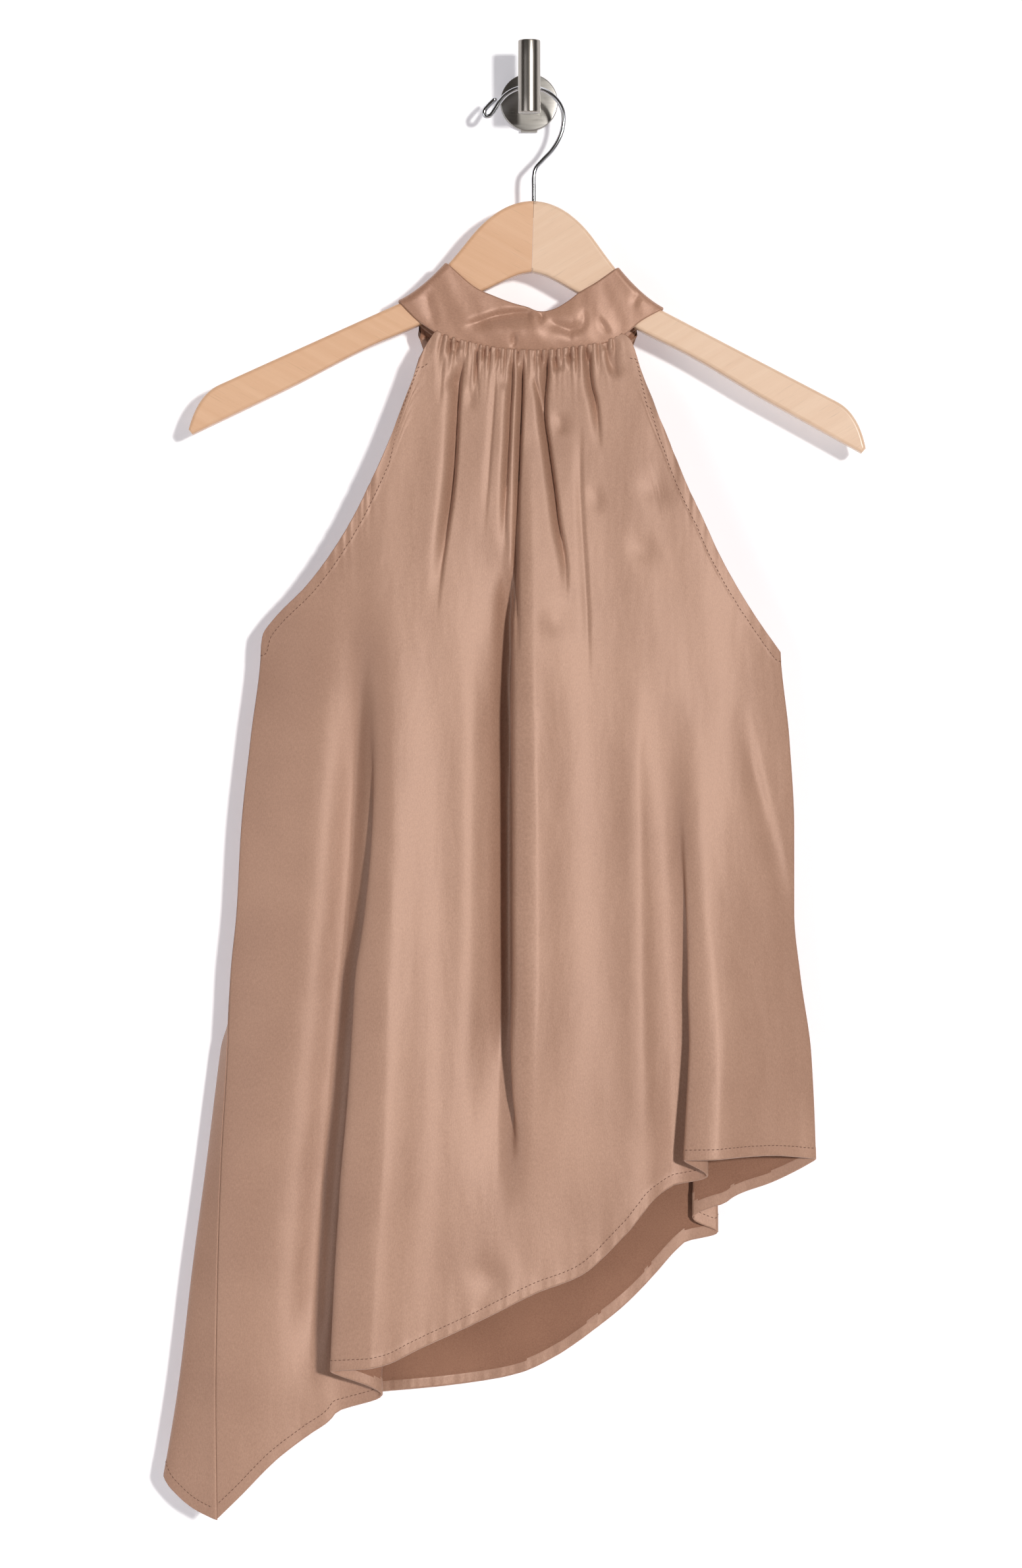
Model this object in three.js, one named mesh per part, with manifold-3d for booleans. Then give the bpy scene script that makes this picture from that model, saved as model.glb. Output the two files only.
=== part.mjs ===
// A satin halter neck top with a gathered front and a slanted hem, on a flat wooden hanger and a wall
// hook. Millimetres, +Z up, +X to the viewer's right, -Y towards the viewer. The wall is the plane y = 0,
// and the origin is the centre of the wall plate's back face.
import * as THREE from "three";
import { mergeVertices } from "three/addons/utils/BufferGeometryUtils.js";
import Module from "manifold-3d";

const wasm = await Module();
wasm.setup();

// Driving sizes
const SEAM_GAP = 0.3; // between any two pieces that touch
const CLOTH = 1.0; // wall of the front and back panels
const BAND = 1.6; // wall of the doubled neckband
const HANGER_Y = -26; // middle plane of the hanger and its hook
const HANGER_THICK = 12;
const HANGER_APEX = { x: 3, z: -68 }; // where the hook enters the top of the hanger
const HANGER_TILT = 1.6; // degrees, right arm low
const WIRE_RADIUS = 1.5;
const PLATE = { radius: 18.8, thick: 4, bevel: 0.8 };
const STEM_RADIUS = 4.3;
const POST = { radius: 7.2, y: -40, low: -12.4, high: 34.6, bevel: 0.7 };

// Small helpers

const clamp01 = (v) => Math.min(1, Math.max(0, v));
const lerp = (a, b, t) => a + (b - a) * t;
const ease = (v) => clamp01(v) ** 2 * (3 - 2 * clamp01(v));
const fades = (v) => Math.exp(-(v ** 2));

// A smooth curve through [place, value] pairs, level beyond both ends, with no overshoot between them.
function track(pairs) {
  const p = [...pairs].sort((a, b) => a[0] - b[0]);
  const slope = p.slice(1).map((q, i) => (q[1] - p[i][1]) / (q[0] - p[i][0]));
  const tangent = p.map((q, i) => {
    const before = slope[Math.max(0, i - 1)];
    const after = slope[Math.min(slope.length - 1, i)];
    return before * after <= 0 ? 0 : (2 * before * after) / (before + after);
  });
  return (v) => {
    if (v <= p[0][0]) return p[0][1];
    if (v >= p[p.length - 1][0]) return p[p.length - 1][1];
    let i = 0;
    while (v > p[i + 1][0]) i++;
    const span = p[i + 1][0] - p[i][0];
    const t = (v - p[i][0]) / span;
    const rest = 1 - t;
    return (
      p[i][1] * (1 + 2 * t) * rest * rest +
      p[i + 1][1] * t * t * (3 - 2 * t) +
      span * t * rest * (tangent[i] * rest - tangent[i + 1] * t)
    );
  };
}

// A table with a heading line of column names and a row of numbers for each entry.
function table(heading, rows) {
  const names = heading.trim().split(/\s+/);
  return rows.map((row) => Object.fromEntries(names.map((name, i) => [name, row[i]])));
}

// The track of one column of a table against another.
const column = (rows, place, value) => track(rows.map((row) => [row[place], row[value]]));

// The tracks of all a table's columns against its heights.
const tracksOf = (rows) =>
  Object.fromEntries(Object.keys(rows[0]).map((name) => [name, column(rows, "z", name)]));

// The place between low and high where a rising function meets zero.
function meet(f, low, high) {
  for (let i = 0; i < 40; i++) {
    const middle = (low + high) / 2;
    if (f(middle) < 0) low = middle;
    else high = middle;
  }
  return (low + high) / 2;
}

// Form of the panels

// Where the cloth's upright lines lie across a panel at each height. The share of the panel's width that
// each line stands for is in SHARES. The last column is the outer left edge of the whole garment.
const SHARES = {
  leftSeam: 0,
  leftFold: 0.256,
  leftCorner: 0.3,
  centre: 0.54,
  rightCorner: 0.775,
  rightFold: 0.8,
  rightSeam: 1,
};
const WIDTHS = table("z leftSeam leftFold leftCorner centre rightCorner rightFold rightSeam leftEdge", [
  [-150, -174, -78, -61, -4, 66, 76, 167, -174],
  [-250, -174, -102, -76, -7, 80, 97, 167, -174],
  [-354, -174, -103, -89, -8, 87, 97, 163, -174],
  [-418, -181, -101, -88, -7, 88, 98, 169, -181],
  [-475, -187, -100, -88, -6, 89, 99, 172, -187],
  [-530, -190, -101, -89, -6, 91, 102, 172, -190],
  [-571, -194, -103, -91, -6, 93, 105, 176, -194],
  [-622, -196, -103, -92, -8, 96, 108, 183, -201],
  [-694, -200, -105, -94, -9, 97, 107, 186, -210],
  [-761, -202, -109, -99, -9, 97, 107, 187, -219],
  [-837, -203, -112, -103, -9, 97, 107, 187, -228],
  [-926, -202, -112, -103, -9, 97, 107, 187, -243],
]);
const lateral = tracksOf(WIDTHS);

// x of the upright line of a share at height z, before any fold shifts it.
const upright = (share, z) =>
  track(Object.entries(SHARES).map(([name, place]) => [place, lateral[name](z)]))(share);

// Edges of the armholes, from the neckband down to the underarm corner.
const ARMHOLES = {
  front: {
    left: table("z x", [
      [-153, -61], [-166, -69], [-191, -78], [-232, -94], [-254, -104], [-275, -114.5], [-297, -128],
      [-318, -144], [-340, -166], [-350, -173], [-357, -174],
    ]),
    right: table("z x", [
      [-155, 62], [-159, 66], [-180, 73], [-211, 85], [-232, 93.5], [-254, 102.5], [-275, 112.5],
      [-297, 122.5], [-318, 134], [-340, 148], [-362, 164],
    ]),
  },
  back: {
    left: table("z x", [
      [-153, -77], [-158, -72], [-166, -67.5], [-191, -75.5], [-232, -91.5], [-254, -101.5],
      [-275, -112], [-297, -125], [-318, -141.5], [-340, -164.5], [-350, -172.5], [-357, -174],
    ]),
    right: table("z x", [
      [-152, 72], [-157, 67.5], [-163, 65], [-180, 70.5], [-211, 82.5], [-232, 91], [-254, 100],
      [-275, 110], [-297, 120], [-318, 132], [-340, 146.5], [-362, 164],
    ]),
  },
};

// Heights of the hems across each panel, by the share of the panel's width.
const FRONT_HEM = table("share z", [
  [0, -921], [0.04, -907], [0.106, -882], [0.159, -867], [0.2, -857], [0.22, -848], [0.236, -841],
  [0.276, -823], [0.34, -818], [0.388, -810], [0.473, -794], [0.571, -774], [0.634, -763],
  [0.698, -736], [0.743, -712], [0.785, -700], [0.815, -688], [0.92, -686], [1, -689],
]);
const BACK_HEM = table("share z", [
  [0, -922], [0.018, -915.5], [0.043, -904], [0.072, -895], [0.11, -893], [0.14, -886], [0.17, -869],
  [0.2, -856], [0.23, -848], [0.26, -846.5], [0.3, -844], [0.36, -841.5], [0.42, -839.5], [0.48, -836.5],
  [0.54, -831], [0.6, -819], [0.66, -800], [0.7, -785], [0.74, -766.5], [0.77, -751.5], [0.79, -744],
  [0.81, -738], [0.83, -730], [0.85, -720], [0.87, -714], [0.93, -705], [0.97, -697], [1, -690],
]);

// Folds, where the cloth doubles under itself, or only swells where overlap is 0. overlap is how far one
// side lies over the other, depth how far the right side stands in front of the left. A fold opens from
// start, is full from full to hold and has closed at end.
const FOLD_COLUMNS = "share half overlap depth start full hold end reachLeft reachRight";
const FRONT_FOLDS = table(FOLD_COLUMNS, [
  [0.256, 0.046, 32, 32, -318, -700, -990, -999, 0.26, 0.15],
  [0.54, 0.03, 8, 25, -225, -400, -590, -740, 0.09, 0.1],
  [0.8, 0.034, 14, 27, -385, -680, -990, -999, 0.09, 0.1],
  [0.43, 0.075, 0, 6, -300, -520, -990, -999, 0.07, 0.08],
  [0.68, 0.07, 0, 7, -300, -520, -990, -999, 0.07, 0.08],
]);
const BACK_FOLDS = table(FOLD_COLUMNS, [
  [0.24, 0.04, 6, -10, -330, -760, -990, -999, 0.09, 0.1],
  [0.42, 0.075, 0, -7, -250, -560, -990, -999, 0.08, 0.09],
  [0.62, 0.075, 0, 7, -240, -600, -990, -999, 0.09, 0.08],
  [0.82, 0.034, 15, 8, -560, -700, -990, -999, 0.1, 0.08],
]);

// Gathers under the neckband: x on the band's seam, depth of the pinch, and how far down it runs.
const GATHER_COLUMNS = "x depth length";
const FRONT_GATHERS = table(GATHER_COLUMNS, [
  [-57, 1.5, 40], [-51, 1.8, 30], [-45.5, 1.5, 60], [-40, 4.2, 170], [-33, 1.8, 75], [-26, 2.0, 45],
  [-18, 1.6, 60], [-10, 3.8, 170], [-4, 3.4, 190], [4, 1.5, 55], [12, 4.4, 170], [17.5, 1.6, 30],
  [23, 2.0, 32], [28, 1.4, 40], [33.5, 1.8, 130], [40, 4.0, 80], [46, 1.4, 45], [51, 2.2, 55],
  [58, 1.7, 30],
]);
const BACK_GATHERS = table(GATHER_COLUMNS, [
  [-69, 1.2, 40], [-62, 1.6, 60], [-55, 1.5, 35], [-48, 2.8, 130], [-41, 1.6, 50], [-34, 1.8, 75],
  [-27, 3.0, 150], [-20, 1.5, 40], [-13, 1.8, 70], [13, 1.7, 60], [20, 2.9, 140], [27, 1.6, 45],
  [34, 1.9, 80], [41, 2.8, 120], [48, 1.5, 45], [55, 1.6, 60], [62, 1.3, 35],
]);
const GATHER_HALF = 0.0125; // half the width that one gather takes from a panel

// Depth of each panel's middle at each height, and of the side seams. The cloth's sides turn in to the
// seams.
const DEPTHS = table("z front back leftSeam rightSeam", [
  [-150, -33.6, -18.2, -27, -27],
  [-170, -35, -17.4, -27, -27],
  [-230, -39, -15, -27, -27],
  [-354, -44, -13, -27, -27],
  [-560, -50, -12, -28, -28],
  [-700, -53, -11.5, -33, -30],
  [-926, -54, -11, -42, -31],
]);
const depthOf = tracksOf(DEPTHS);
const SIDE_TURN = 5; // power of the curve that turns the panels in to their side seams

// The upright lines shift sideways through a fold by this much of its reach, at most at 0.447 of its half
// width.
const foldShift = (u) => (Math.abs(u) >= 1 ? 0 : -3.494 * u * (1 - u * u) ** 2);
const FOLD_TURN = 0.447;
const VALLEY_SHARE = 0.45; // how much of a fold's depth its valley sinks; the lip rises by the rest
const GATHER_LEVEL = 0.33; // mean height of a gather's section, which is taken off
const SEWN_RUN = 7; // the gathers grow to their full depth in this distance below the band
const SEWN_SHARE = 0.45; // share of a gather's depth that is there at the seam itself
const SEAM_STEPS = 12; // rounds that find where an upright line meets the band
const SIDE_REACH = 0.03; // share of a panel's width that gives way to its neighbour at a side seam
const FLARE_RUN = 9; // height over which the ends of a flared panel draw in below the band

// The share of its full size that a fold has at height z.
function opened(fold, z) {
  const opens = clamp01((fold.start - z) / (fold.start - fold.full));
  const closes = ease((z - fold.end) / (fold.hold - fold.end));
  return Math.min(opens, z > fold.hold ? 1 : closes);
}

// A panel: where each upright line is at each height, its top and bottom, and its depth.
class Panel {
  constructor({ folds, gathers, hem, armholes, flare, seamHeight, middle, gatherSide, wrap }) {
    Object.assign(this, { folds, gathers, flare, seamHeight, middle, gatherSide, wrap });
    this.hem = column(hem, "share", "z");
    this.armLeft = column(armholes.left, "z", "x");
    this.armRight = column(armholes.right, "z", "x");
    this.leftTop = armholes.left[0];
    this.rightTop = armholes.right[0];
    this.leftUnderarm = armholes.left.at(-1).z;
    this.rightUnderarm = armholes.right.at(-1).z;
    for (const gather of gathers) {
      const z = seamHeight(gather.x);
      gather.share = meet((s) => this.across(s, z) - gather.x, 0, 1);
    }
  }

  // x of an upright line, spread along the band by the panel's flare, before any fold shifts it.
  across(share, z) {
    return upright(share, z) * (1 + this.flare * fades(Math.max(0, this.leftTop.z - z) / FLARE_RUN));
  }

  // The height where an upright line starts, on the band's seam or on an armhole's edge.
  top(share) {
    const gap = (z) => this.across(share, z);
    if (gap(this.leftTop.z) < this.leftTop.x)
      return meet((z) => this.armLeft(z) - gap(z), this.leftUnderarm, this.leftTop.z);
    if (gap(this.rightTop.z) > this.rightTop.x)
      return meet((z) => gap(z) - this.armRight(z), this.rightUnderarm, this.rightTop.z);
    let z = this.leftTop.z;
    for (let i = 0; i < SEAM_STEPS; i++) z = this.seamHeight(this.across(share, z)) - SEAM_GAP;
    return z;
  }

  // The point of the panel's middle surface on an upright line, a share of the way down from its top to
  // the hem.
  point(share, down) {
    const high = this.top(share);
    const z = lerp(high, this.hem(share), down);
    let x = this.across(share, z);
    const seam = lerp(depthOf.leftSeam(z), depthOf.rightSeam(z), ease(share));
    const turn = 1 - Math.abs(2 * share - 1) ** SIDE_TURN;
    let y = lerp(seam, depthOf[this.middle](z), turn);
    const spread = (this.across(share + 0.01, z) - this.across(share - 0.01, z)) / 0.02;
    for (const fold of this.folds) {
      const open = opened(fold, z);
      const u = (share - fold.share) / fold.half;
      const reach = fold.overlap > 0 ? (fold.overlap + 2 * FOLD_TURN * fold.half * spread) / 2 : 0;
      x += reach * Math.min(1, 1.5 * open) * open * foldShift(u);
      const before = fades(Math.max(0, -u * fold.half) / fold.reachLeft);
      const after = fades(Math.max(0, u * fold.half) / fold.reachRight);
      const crossed = ease((u + 1) / 2);
      const rise = VALLEY_SHARE * before * (1 - crossed) - (1 - VALLEY_SHARE) * after * crossed;
      y += fold.depth * open * turn * rise;
    }
    for (const gather of this.gathers) {
      const u = Math.abs(share - gather.share) / GATHER_HALF;
      if (u >= 1) continue;
      const sewn = lerp(SEWN_SHARE, 1, ease((high - z) / SEWN_RUN));
      const left = (1 - clamp01((high - z) / gather.length)) ** 1.3;
      y += this.gatherSide * gather.depth * sewn * left * ((1 - u) ** 2 - GATHER_LEVEL);
    }
    return this.wrap(new THREE.Vector3(x, y, z), share);
  }
}

// Where the front's edges stop short of the side seams.
const SEAM_EDGE = SEAM_GAP / 2 + CLOTH / 2;
// The share of the lower left side that turns round to the front, so that its seam shows there.
const turnedForward = (z) => ease((-540 - z) / 80);
const WRAP_PEAK = 0.072; // share of the back's width where its left side lies furthest out
const WRAP_FADE = 1.1; // how far past that share the side's swing fades, as a multiple of the share

function frontWrap(p, share) {
  const edge = Math.max(0, 1 - share / SIDE_REACH);
  const right = Math.max(0, 1 - (1 - share) / SIDE_REACH);
  p.y -= SEAM_EDGE * (edge * (1 - turnedForward(p.z)) + right);
  p.x += 0.5 * SEAM_EDGE * edge * turnedForward(p.z);
  return p;
}

function backWrap(p, share) {
  const edge = Math.max(0, 1 - share / SIDE_REACH);
  const right = Math.max(0, 1 - (1 - share) / SIDE_REACH);
  const forward = turnedForward(p.z);
  p.y += SEAM_EDGE * (edge * (1 - forward) + right);
  p.x -= 0.5 * SEAM_EDGE * edge * forward;
  const q = share / WRAP_PEAK;
  const past = fades(Math.max(0, q - 1) / WRAP_FADE);
  const swing = q < 1 ? Math.sin((Math.PI / 2) * q) : past;
  const out = lateral.leftSeam(p.z) - lateral.leftEdge(p.z);
  const turned = upright(Math.min(share, WRAP_PEAK), p.z) - lateral.leftSeam(p.z);
  p.x -= swing * out + forward * past * turned;
  return p;
}

// Walls

// A closed wall from a middle surface: both faces, and a rim along each edge that only one triangle uses.
function wallGeometry(points, triangles, thickness) {
  const normals = points.map(() => new THREE.Vector3());
  const uses = new Map();
  for (const tri of triangles) {
    const [a, b, c] = tri.map((i) => points[i]);
    const n = new THREE.Vector3().subVectors(b, a).cross(new THREE.Vector3().subVectors(c, a));
    for (const i of tri) normals[i].add(n);
    tri.forEach((i, k) => uses.set(i + "_" + tri[(k + 1) % 3], true));
  }
  normals.forEach((n) => n.normalize());
  const count = points.length;
  const position = [];
  for (const side of [0.5, -0.5])
    points.forEach((p, i) => {
      const v = p.clone().addScaledVector(normals[i], side * thickness);
      position.push(v.x, v.y, v.z);
    });
  const index = [];
  for (const [a, b, c] of triangles) {
    index.push(a, b, c);
    index.push(a + count, c + count, b + count);
    for (const [p, q] of [[a, b], [b, c], [c, a]])
      if (!uses.has(q + "_" + p)) index.push(q, p, p + count, q, p + count, q + count);
  }
  const geometry = new THREE.BufferGeometry();
  geometry.setAttribute("position", new THREE.Float32BufferAttribute(position, 3));
  geometry.setIndex(index);
  geometry.computeVertexNormals();
  return geometry;
}

// Triangles between two rows of points, where the lower row may leave some of the upper row's columns
// out. Each row is a list of [column, index]. facing turns every triangle round.
function stitch(upper, lower, facing, triangles) {
  let low = 0;
  const add = (a, b, c) => triangles.push(facing > 0 ? [a, b, c] : [a, c, b]);
  for (let i = 0; i + 1 < upper.length; i++) {
    const here = upper[i];
    const next = upper[i + 1];
    const more = low + 1 < lower.length;
    if (more && here[0] + next[0] >= lower[low][0] + lower[low + 1][0]) {
      add(here[1], lower[low][1], lower[low + 1][1]);
      low++;
    }
    add(here[1], lower[low][1], next[1]);
  }
  while (low + 1 < lower.length) {
    add(upper[upper.length - 1][1], lower[low][1], lower[low + 1][1]);
    low++;
  }
}

// A panel's wall. Columns that only serve the gathers stop at the row FINE_ROWS.
const ROWS = [0, 0.01, 0.03, 0.07, 0.13, 0.2, 0.28, 0.37, 0.46, 0.56, 0.66, 0.76, 0.86, 0.94, 1];
const FINE_ROWS = 5;
const SIDE_COLUMNS = [0, 0.012, 0.03, 0.055, 0.08, 0.11, 0.145, 0.18, 0.89, 0.93, 0.965, 0.988, 1];
const MIDDLE_COLUMNS = { from: 0.33, to: 0.78, step: 0.03 };
const DEEP_FOLD_COLUMNS = [-1, -0.75, -0.5, -0.25, 0, 0.25, 0.5, 0.75, 1];
const SOFT_FOLD_COLUMNS = [-1, -0.5, 0, 0.5, 1];
const GATHER_PLACES = [-1, -0.45, 0, 0.45];
const LEAST_STEP = { coarse: 0.0035, fine: 0.0022 };

function panelColumns(panel) {
  const coarse = new Set(SIDE_COLUMNS);
  for (const fold of panel.folds)
    for (const u of fold.overlap > 2 ? DEEP_FOLD_COLUMNS : SOFT_FOLD_COLUMNS)
      coarse.add(fold.share + u * fold.half);
  for (let s = MIDDLE_COLUMNS.from; s < MIDDLE_COLUMNS.to; s += MIDDLE_COLUMNS.step) coarse.add(s);
  const wanted = [...coarse].sort((a, b) => a - b);
  const kept = wanted.filter((s, i) => i === 0 || s === 1 || s - wanted[i - 1] > LEAST_STEP.coarse);
  const fine = new Set(kept);
  for (const gather of panel.gathers)
    for (const u of GATHER_PLACES) fine.add(gather.share + u * GATHER_HALF);
  const all = [...fine].sort((a, b) => a - b);
  const clear = (s) => kept.every((k) => Math.abs(k - s) >= LEAST_STEP.fine);
  const roomy = (s, i) => s - all[i - 1] > LEAST_STEP.fine && clear(s);
  return { columns: all.filter((s, i) => kept.includes(s) || roomy(s, i)), kept };
}

function panelGeometry(panel, facing) {
  const { columns, kept } = panelColumns(panel);
  const points = [];
  const rows = ROWS.map((down, r) => {
    const used = r < FINE_ROWS ? columns : kept;
    return used.map((share) => {
      points.push(panel.point(share, down));
      return [share, points.length - 1];
    });
  });
  const triangles = [];
  for (let r = 0; r + 1 < rows.length; r++) stitch(rows[r], rows[r + 1], facing, triangles);
  return wallGeometry(points, triangles, CLOTH);
}

// Booleans

function solidOf(geometry) {
  const bare = geometry.index ? geometry.toNonIndexed() : geometry.clone();
  bare.deleteAttribute("normal");
  bare.deleteAttribute("uv");
  const merged = mergeVertices(bare, 1e-4);
  return new wasm.Manifold(
    new wasm.Mesh({
      numProp: 3,
      vertProperties: new Float32Array(merged.attributes.position.array),
      triVerts: new Uint32Array(merged.index.array),
    }),
  );
}

function geometryOf(solid) {
  const mesh = solid.getMesh();
  const geometry = new THREE.BufferGeometry();
  const position = new Float32Array(mesh.numVert * 3);
  for (let i = 0; i < mesh.numVert; i++)
    position.set(mesh.vertProperties.subarray(i * mesh.numProp, i * mesh.numProp + 3), i * 3);
  geometry.setAttribute("position", new THREE.BufferAttribute(position, 3));
  geometry.setIndex(new THREE.BufferAttribute(new Uint32Array(mesh.triVerts), 1));
  geometry.computeVertexNormals();
  return geometry;
}

// Hanger

// Half outline of the hanger in its own frame, x outwards from the hook and z up, as Bezier stretches.
const bezier = (...p) => new THREE.CubicBezierCurve(...p.map(([x, z]) => new THREE.Vector2(x, z)));
const DOME = bezier([0, 0], [17, 0], [31, -12], [41, -25.4]);
const NECK_SLOPE = bezier([41, -25.4], [45.5, -31.4], [49.5, -36.6], [54, -42]);
const SHOULDER = bezier([54, -42], [62, -51.4], [73, -62.6], [85, -68.6]);
const ARM_END = bezier([200.6, -124.8], [211, -129.8], [217, -141], [220, -154.5]);
const HANGER_BEVEL = 2.4;
const DRILL_DEPTH = 14; // of the wire's hole, from the top of the wood
const ARM_TIP = [217.4, -157.6];
const UNDERSIDE = [[150.7, -123.2], [104.8, -97.8], [71.5, -82.2], [31.5, -59.6], [0, -45]];

// A point of the hanger's own frame, placed and tilted. side is 1 for the right half and -1 for the left.
function hung(point, side) {
  const tilt = THREE.MathUtils.degToRad(HANGER_TILT);
  const x = side * point.x;
  return new THREE.Vector2(
    HANGER_APEX.x + x * Math.cos(tilt) + point.y * Math.sin(tilt),
    HANGER_APEX.z - x * Math.sin(tilt) + point.y * Math.cos(tilt),
  );
}

function hangerHalfOutline() {
  const top = [DOME.getPoints(7), NECK_SLOPE.getPoints(2), SHOULDER.getPoints(6), ARM_END.getPoints(7)];
  const rest = [ARM_TIP, ...UNDERSIDE].map(([x, z]) => new THREE.Vector2(x, z));
  const all = [...top.flat(), ...rest];
  return all.filter((p, i) => i === 0 || p.distanceTo(all[i - 1]) > 0.01);
}

function hangerHalves() {
  const half = hangerHalfOutline();
  const right = half.map((p) => hung(p, 1));
  const left = half.slice(1, -1).map((p) => hung(p, -1)).reverse();
  const bevel = HANGER_BEVEL;
  const whole = new THREE.ExtrudeGeometry(new THREE.Shape([...right, ...left]), {
    depth: HANGER_THICK - 2 * bevel,
    bevelThickness: bevel,
    bevelSize: bevel,
    bevelOffset: -bevel,
    bevelSegments: 2,
  });
  // The outline is drawn in x and z, so the extrusion is turned to run along y.
  whole.translate(0, 0, -(HANGER_THICK / 2 - bevel)).rotateX(Math.PI / 2).translate(0, HANGER_Y, 0);
  const drill = WIRE_RADIUS + SEAM_GAP;
  const hole = new THREE.CylinderGeometry(drill, drill, 2 * DRILL_DEPTH, 12);
  hole.rotateX(Math.PI / 2).translate(HANGER_APEX.x, HANGER_Y, HANGER_APEX.z);
  const drilled = solidOf(whole).subtract(solidOf(hole));
  const tilt = THREE.MathUtils.degToRad(HANGER_TILT);
  const cutter = (side) => {
    const box = new THREE.BoxGeometry(300, 100, 400);
    box.translate(side * (150 + SEAM_GAP / 2), 0, 0).rotateY(tilt);
    return solidOf(box.translate(HANGER_APEX.x, HANGER_Y, HANGER_APEX.z));
  };
  return {
    left: geometryOf(drilled.intersect(cutter(-1))),
    right: geometryOf(drilled.intersect(cutter(1))),
  };
}

// Route of the hook's wire in the hanger's plane, from its turned-back end to the hole in the wood.
const WIRE_ROUTE = table("x z", [
  [-22.4, -1.4], [-26.4, -5.4], [-29.2, -9.2], [-28.6, -12.2], [-25.4, -12], [-22.4, -8.2], [-19.4, -3.4],
  [-15, 1.6], [-8, 5.4], [0, 6.1], [9.5, 4.6], [17.2, -0.8], [21.6, -8], [22.4, -16], [20.4, -25],
  [15, -34.4], [8.4, -41.4], [4.2, -46.4], [3, -52], [3, -60], [3, -68], [3, -77],
]);
const WIRE_SIDES = 8;
const WIRE_STEPS = 60;

function wireGeometry() {
  const route = new THREE.CatmullRomCurve3(
    WIRE_ROUTE.map(({ x, z }) => new THREE.Vector3(x, HANGER_Y, z)),
    false,
    "centripetal",
  );
  const section = new THREE.Shape();
  for (let i = 0; i < WIRE_SIDES; i++) {
    const angle = (2 * Math.PI * i) / WIRE_SIDES;
    const at = [WIRE_RADIUS * Math.cos(angle), WIRE_RADIUS * Math.sin(angle)];
    if (i === 0) section.moveTo(...at);
    else section.lineTo(...at);
  }
  return new THREE.ExtrudeGeometry(section, { steps: WIRE_STEPS, bevelEnabled: false, extrudePath: route });
}

// Wall hook

const TAB = { width: 10.8, thick: 2, height: 6, z: -16.6 }; // small tab at the foot of the plate

function plateGeometry() {
  const { radius, thick, bevel } = PLATE;
  const profile = [[0, 0], [radius, 0], [radius, thick - bevel], [radius - bevel, thick], [0, thick]];
  const disc = new THREE.LatheGeometry(profile.map(([r, h]) => new THREE.Vector2(r, h)), 40);
  // Lathe turns about y and grows along +y, so it is turned over to grow out of the wall.
  disc.rotateX(Math.PI);
  const tab = new THREE.BoxGeometry(TAB.width, TAB.thick, TAB.height).translate(0, -TAB.thick, TAB.z);
  return geometryOf(solidOf(disc).add(solidOf(tab)));
}

function postGeometry() {
  const { radius, y, low, high, bevel } = POST;
  const upward = [[0, low], [radius - bevel, low], [radius, low + bevel]];
  const profile = [...upward, [radius, high - bevel], [radius - bevel, high], [0, high]];
  const post = new THREE.LatheGeometry(profile.map(([r, h]) => new THREE.Vector2(r, h)), 28);
  post.rotateX(Math.PI / 2).translate(0, y, 0);
  const length = -y - PLATE.thick - SEAM_GAP;
  const stem = new THREE.CylinderGeometry(STEM_RADIUS, STEM_RADIUS, length, 24);
  stem.translate(0, -PLATE.thick - SEAM_GAP - length / 2, 0);
  return geometryOf(solidOf(post).add(solidOf(stem)));
}

// Neckband

// Upper and lower edges of the band's front, between the crests where it folds over the hanger's arms.
const BAND_TOP = table("x z", [
  [-35, -125], [-23, -130.5], [-11, -135], [-2, -137.5], [7, -140.5], [16, -139], [25, -134], [33, -128],
  [44, -121.5],
]);
const BAND_BOTTOM = table("x z", [
  [-70, -147], [-55, -156], [-34, -162], [-18, -165], [-3, -166], [12, -166], [29, -164], [44, -161.5],
  [61, -155], [72, -146],
]);
const BACK_DROOP = 5; // how much lower the band hangs at the back
const REST = 0.5; // between the band's inner face and the hanger
const BAND_OFF = HANGER_THICK / 2 + BAND / 2 + REST; // how far the band stands from the hanger's middle plane
const BAND_SLACK = 3.2; // how far the band's middle swells away from the hanger
const BAND_LENGTH = 160; // of the front or the back, from arm to arm
const LAP = 22; // how far the band's ends lie over each other at the centre back
const LAP_OFF = BAND + SEAM_GAP + 0.2; // how far the upper end stands off the lower one

// The crest where the band lies on a shoulder of the hanger, w from its inner edge to its outer edge.
function crest(w, side) {
  const t = clamp01(w) * 0.96 + 0.04;
  const p = SHOULDER.getPoint(t);
  const along = SHOULDER.getTangent(t);
  const off = BAND / 2 + REST;
  return hung(new THREE.Vector2(p.x - along.y * off, p.y + along.x * off), side);
}

function edgeCurve(rows, w) {
  const route = [crest(w, -1), ...rows.map(({ x, z }) => new THREE.Vector2(x, z)), crest(w, 1)];
  return new THREE.CatmullRomCurve3(
    route.map((p) => new THREE.Vector3(p.x, 0, p.y)),
    false,
    "centripetal",
  );
}
const bandTop = edgeCurve(BAND_TOP, 0);
const bandBottom = edgeCurve(BAND_BOTTOM, 1);

// Buckles in the slack band: place along it and across it, spreads, depth (towards the hanger) and lean.
const BUCKLES = table("along across wide tall depth lean", [
  [0.4, 0.3, 0.12, 0.16, 1.6, 0.5],
  [0.56, 0.55, 0.03, 0.3, 1.5, -0.1],
  [0.68, 0.55, 0.06, 0.22, 1.5, 0.5],
  [0.27, 0.5, 0.03, 0.4, 0.9, 0.2],
  [0.82, 0.45, 0.03, 0.4, 1.1, -0.35],
]);

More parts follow.
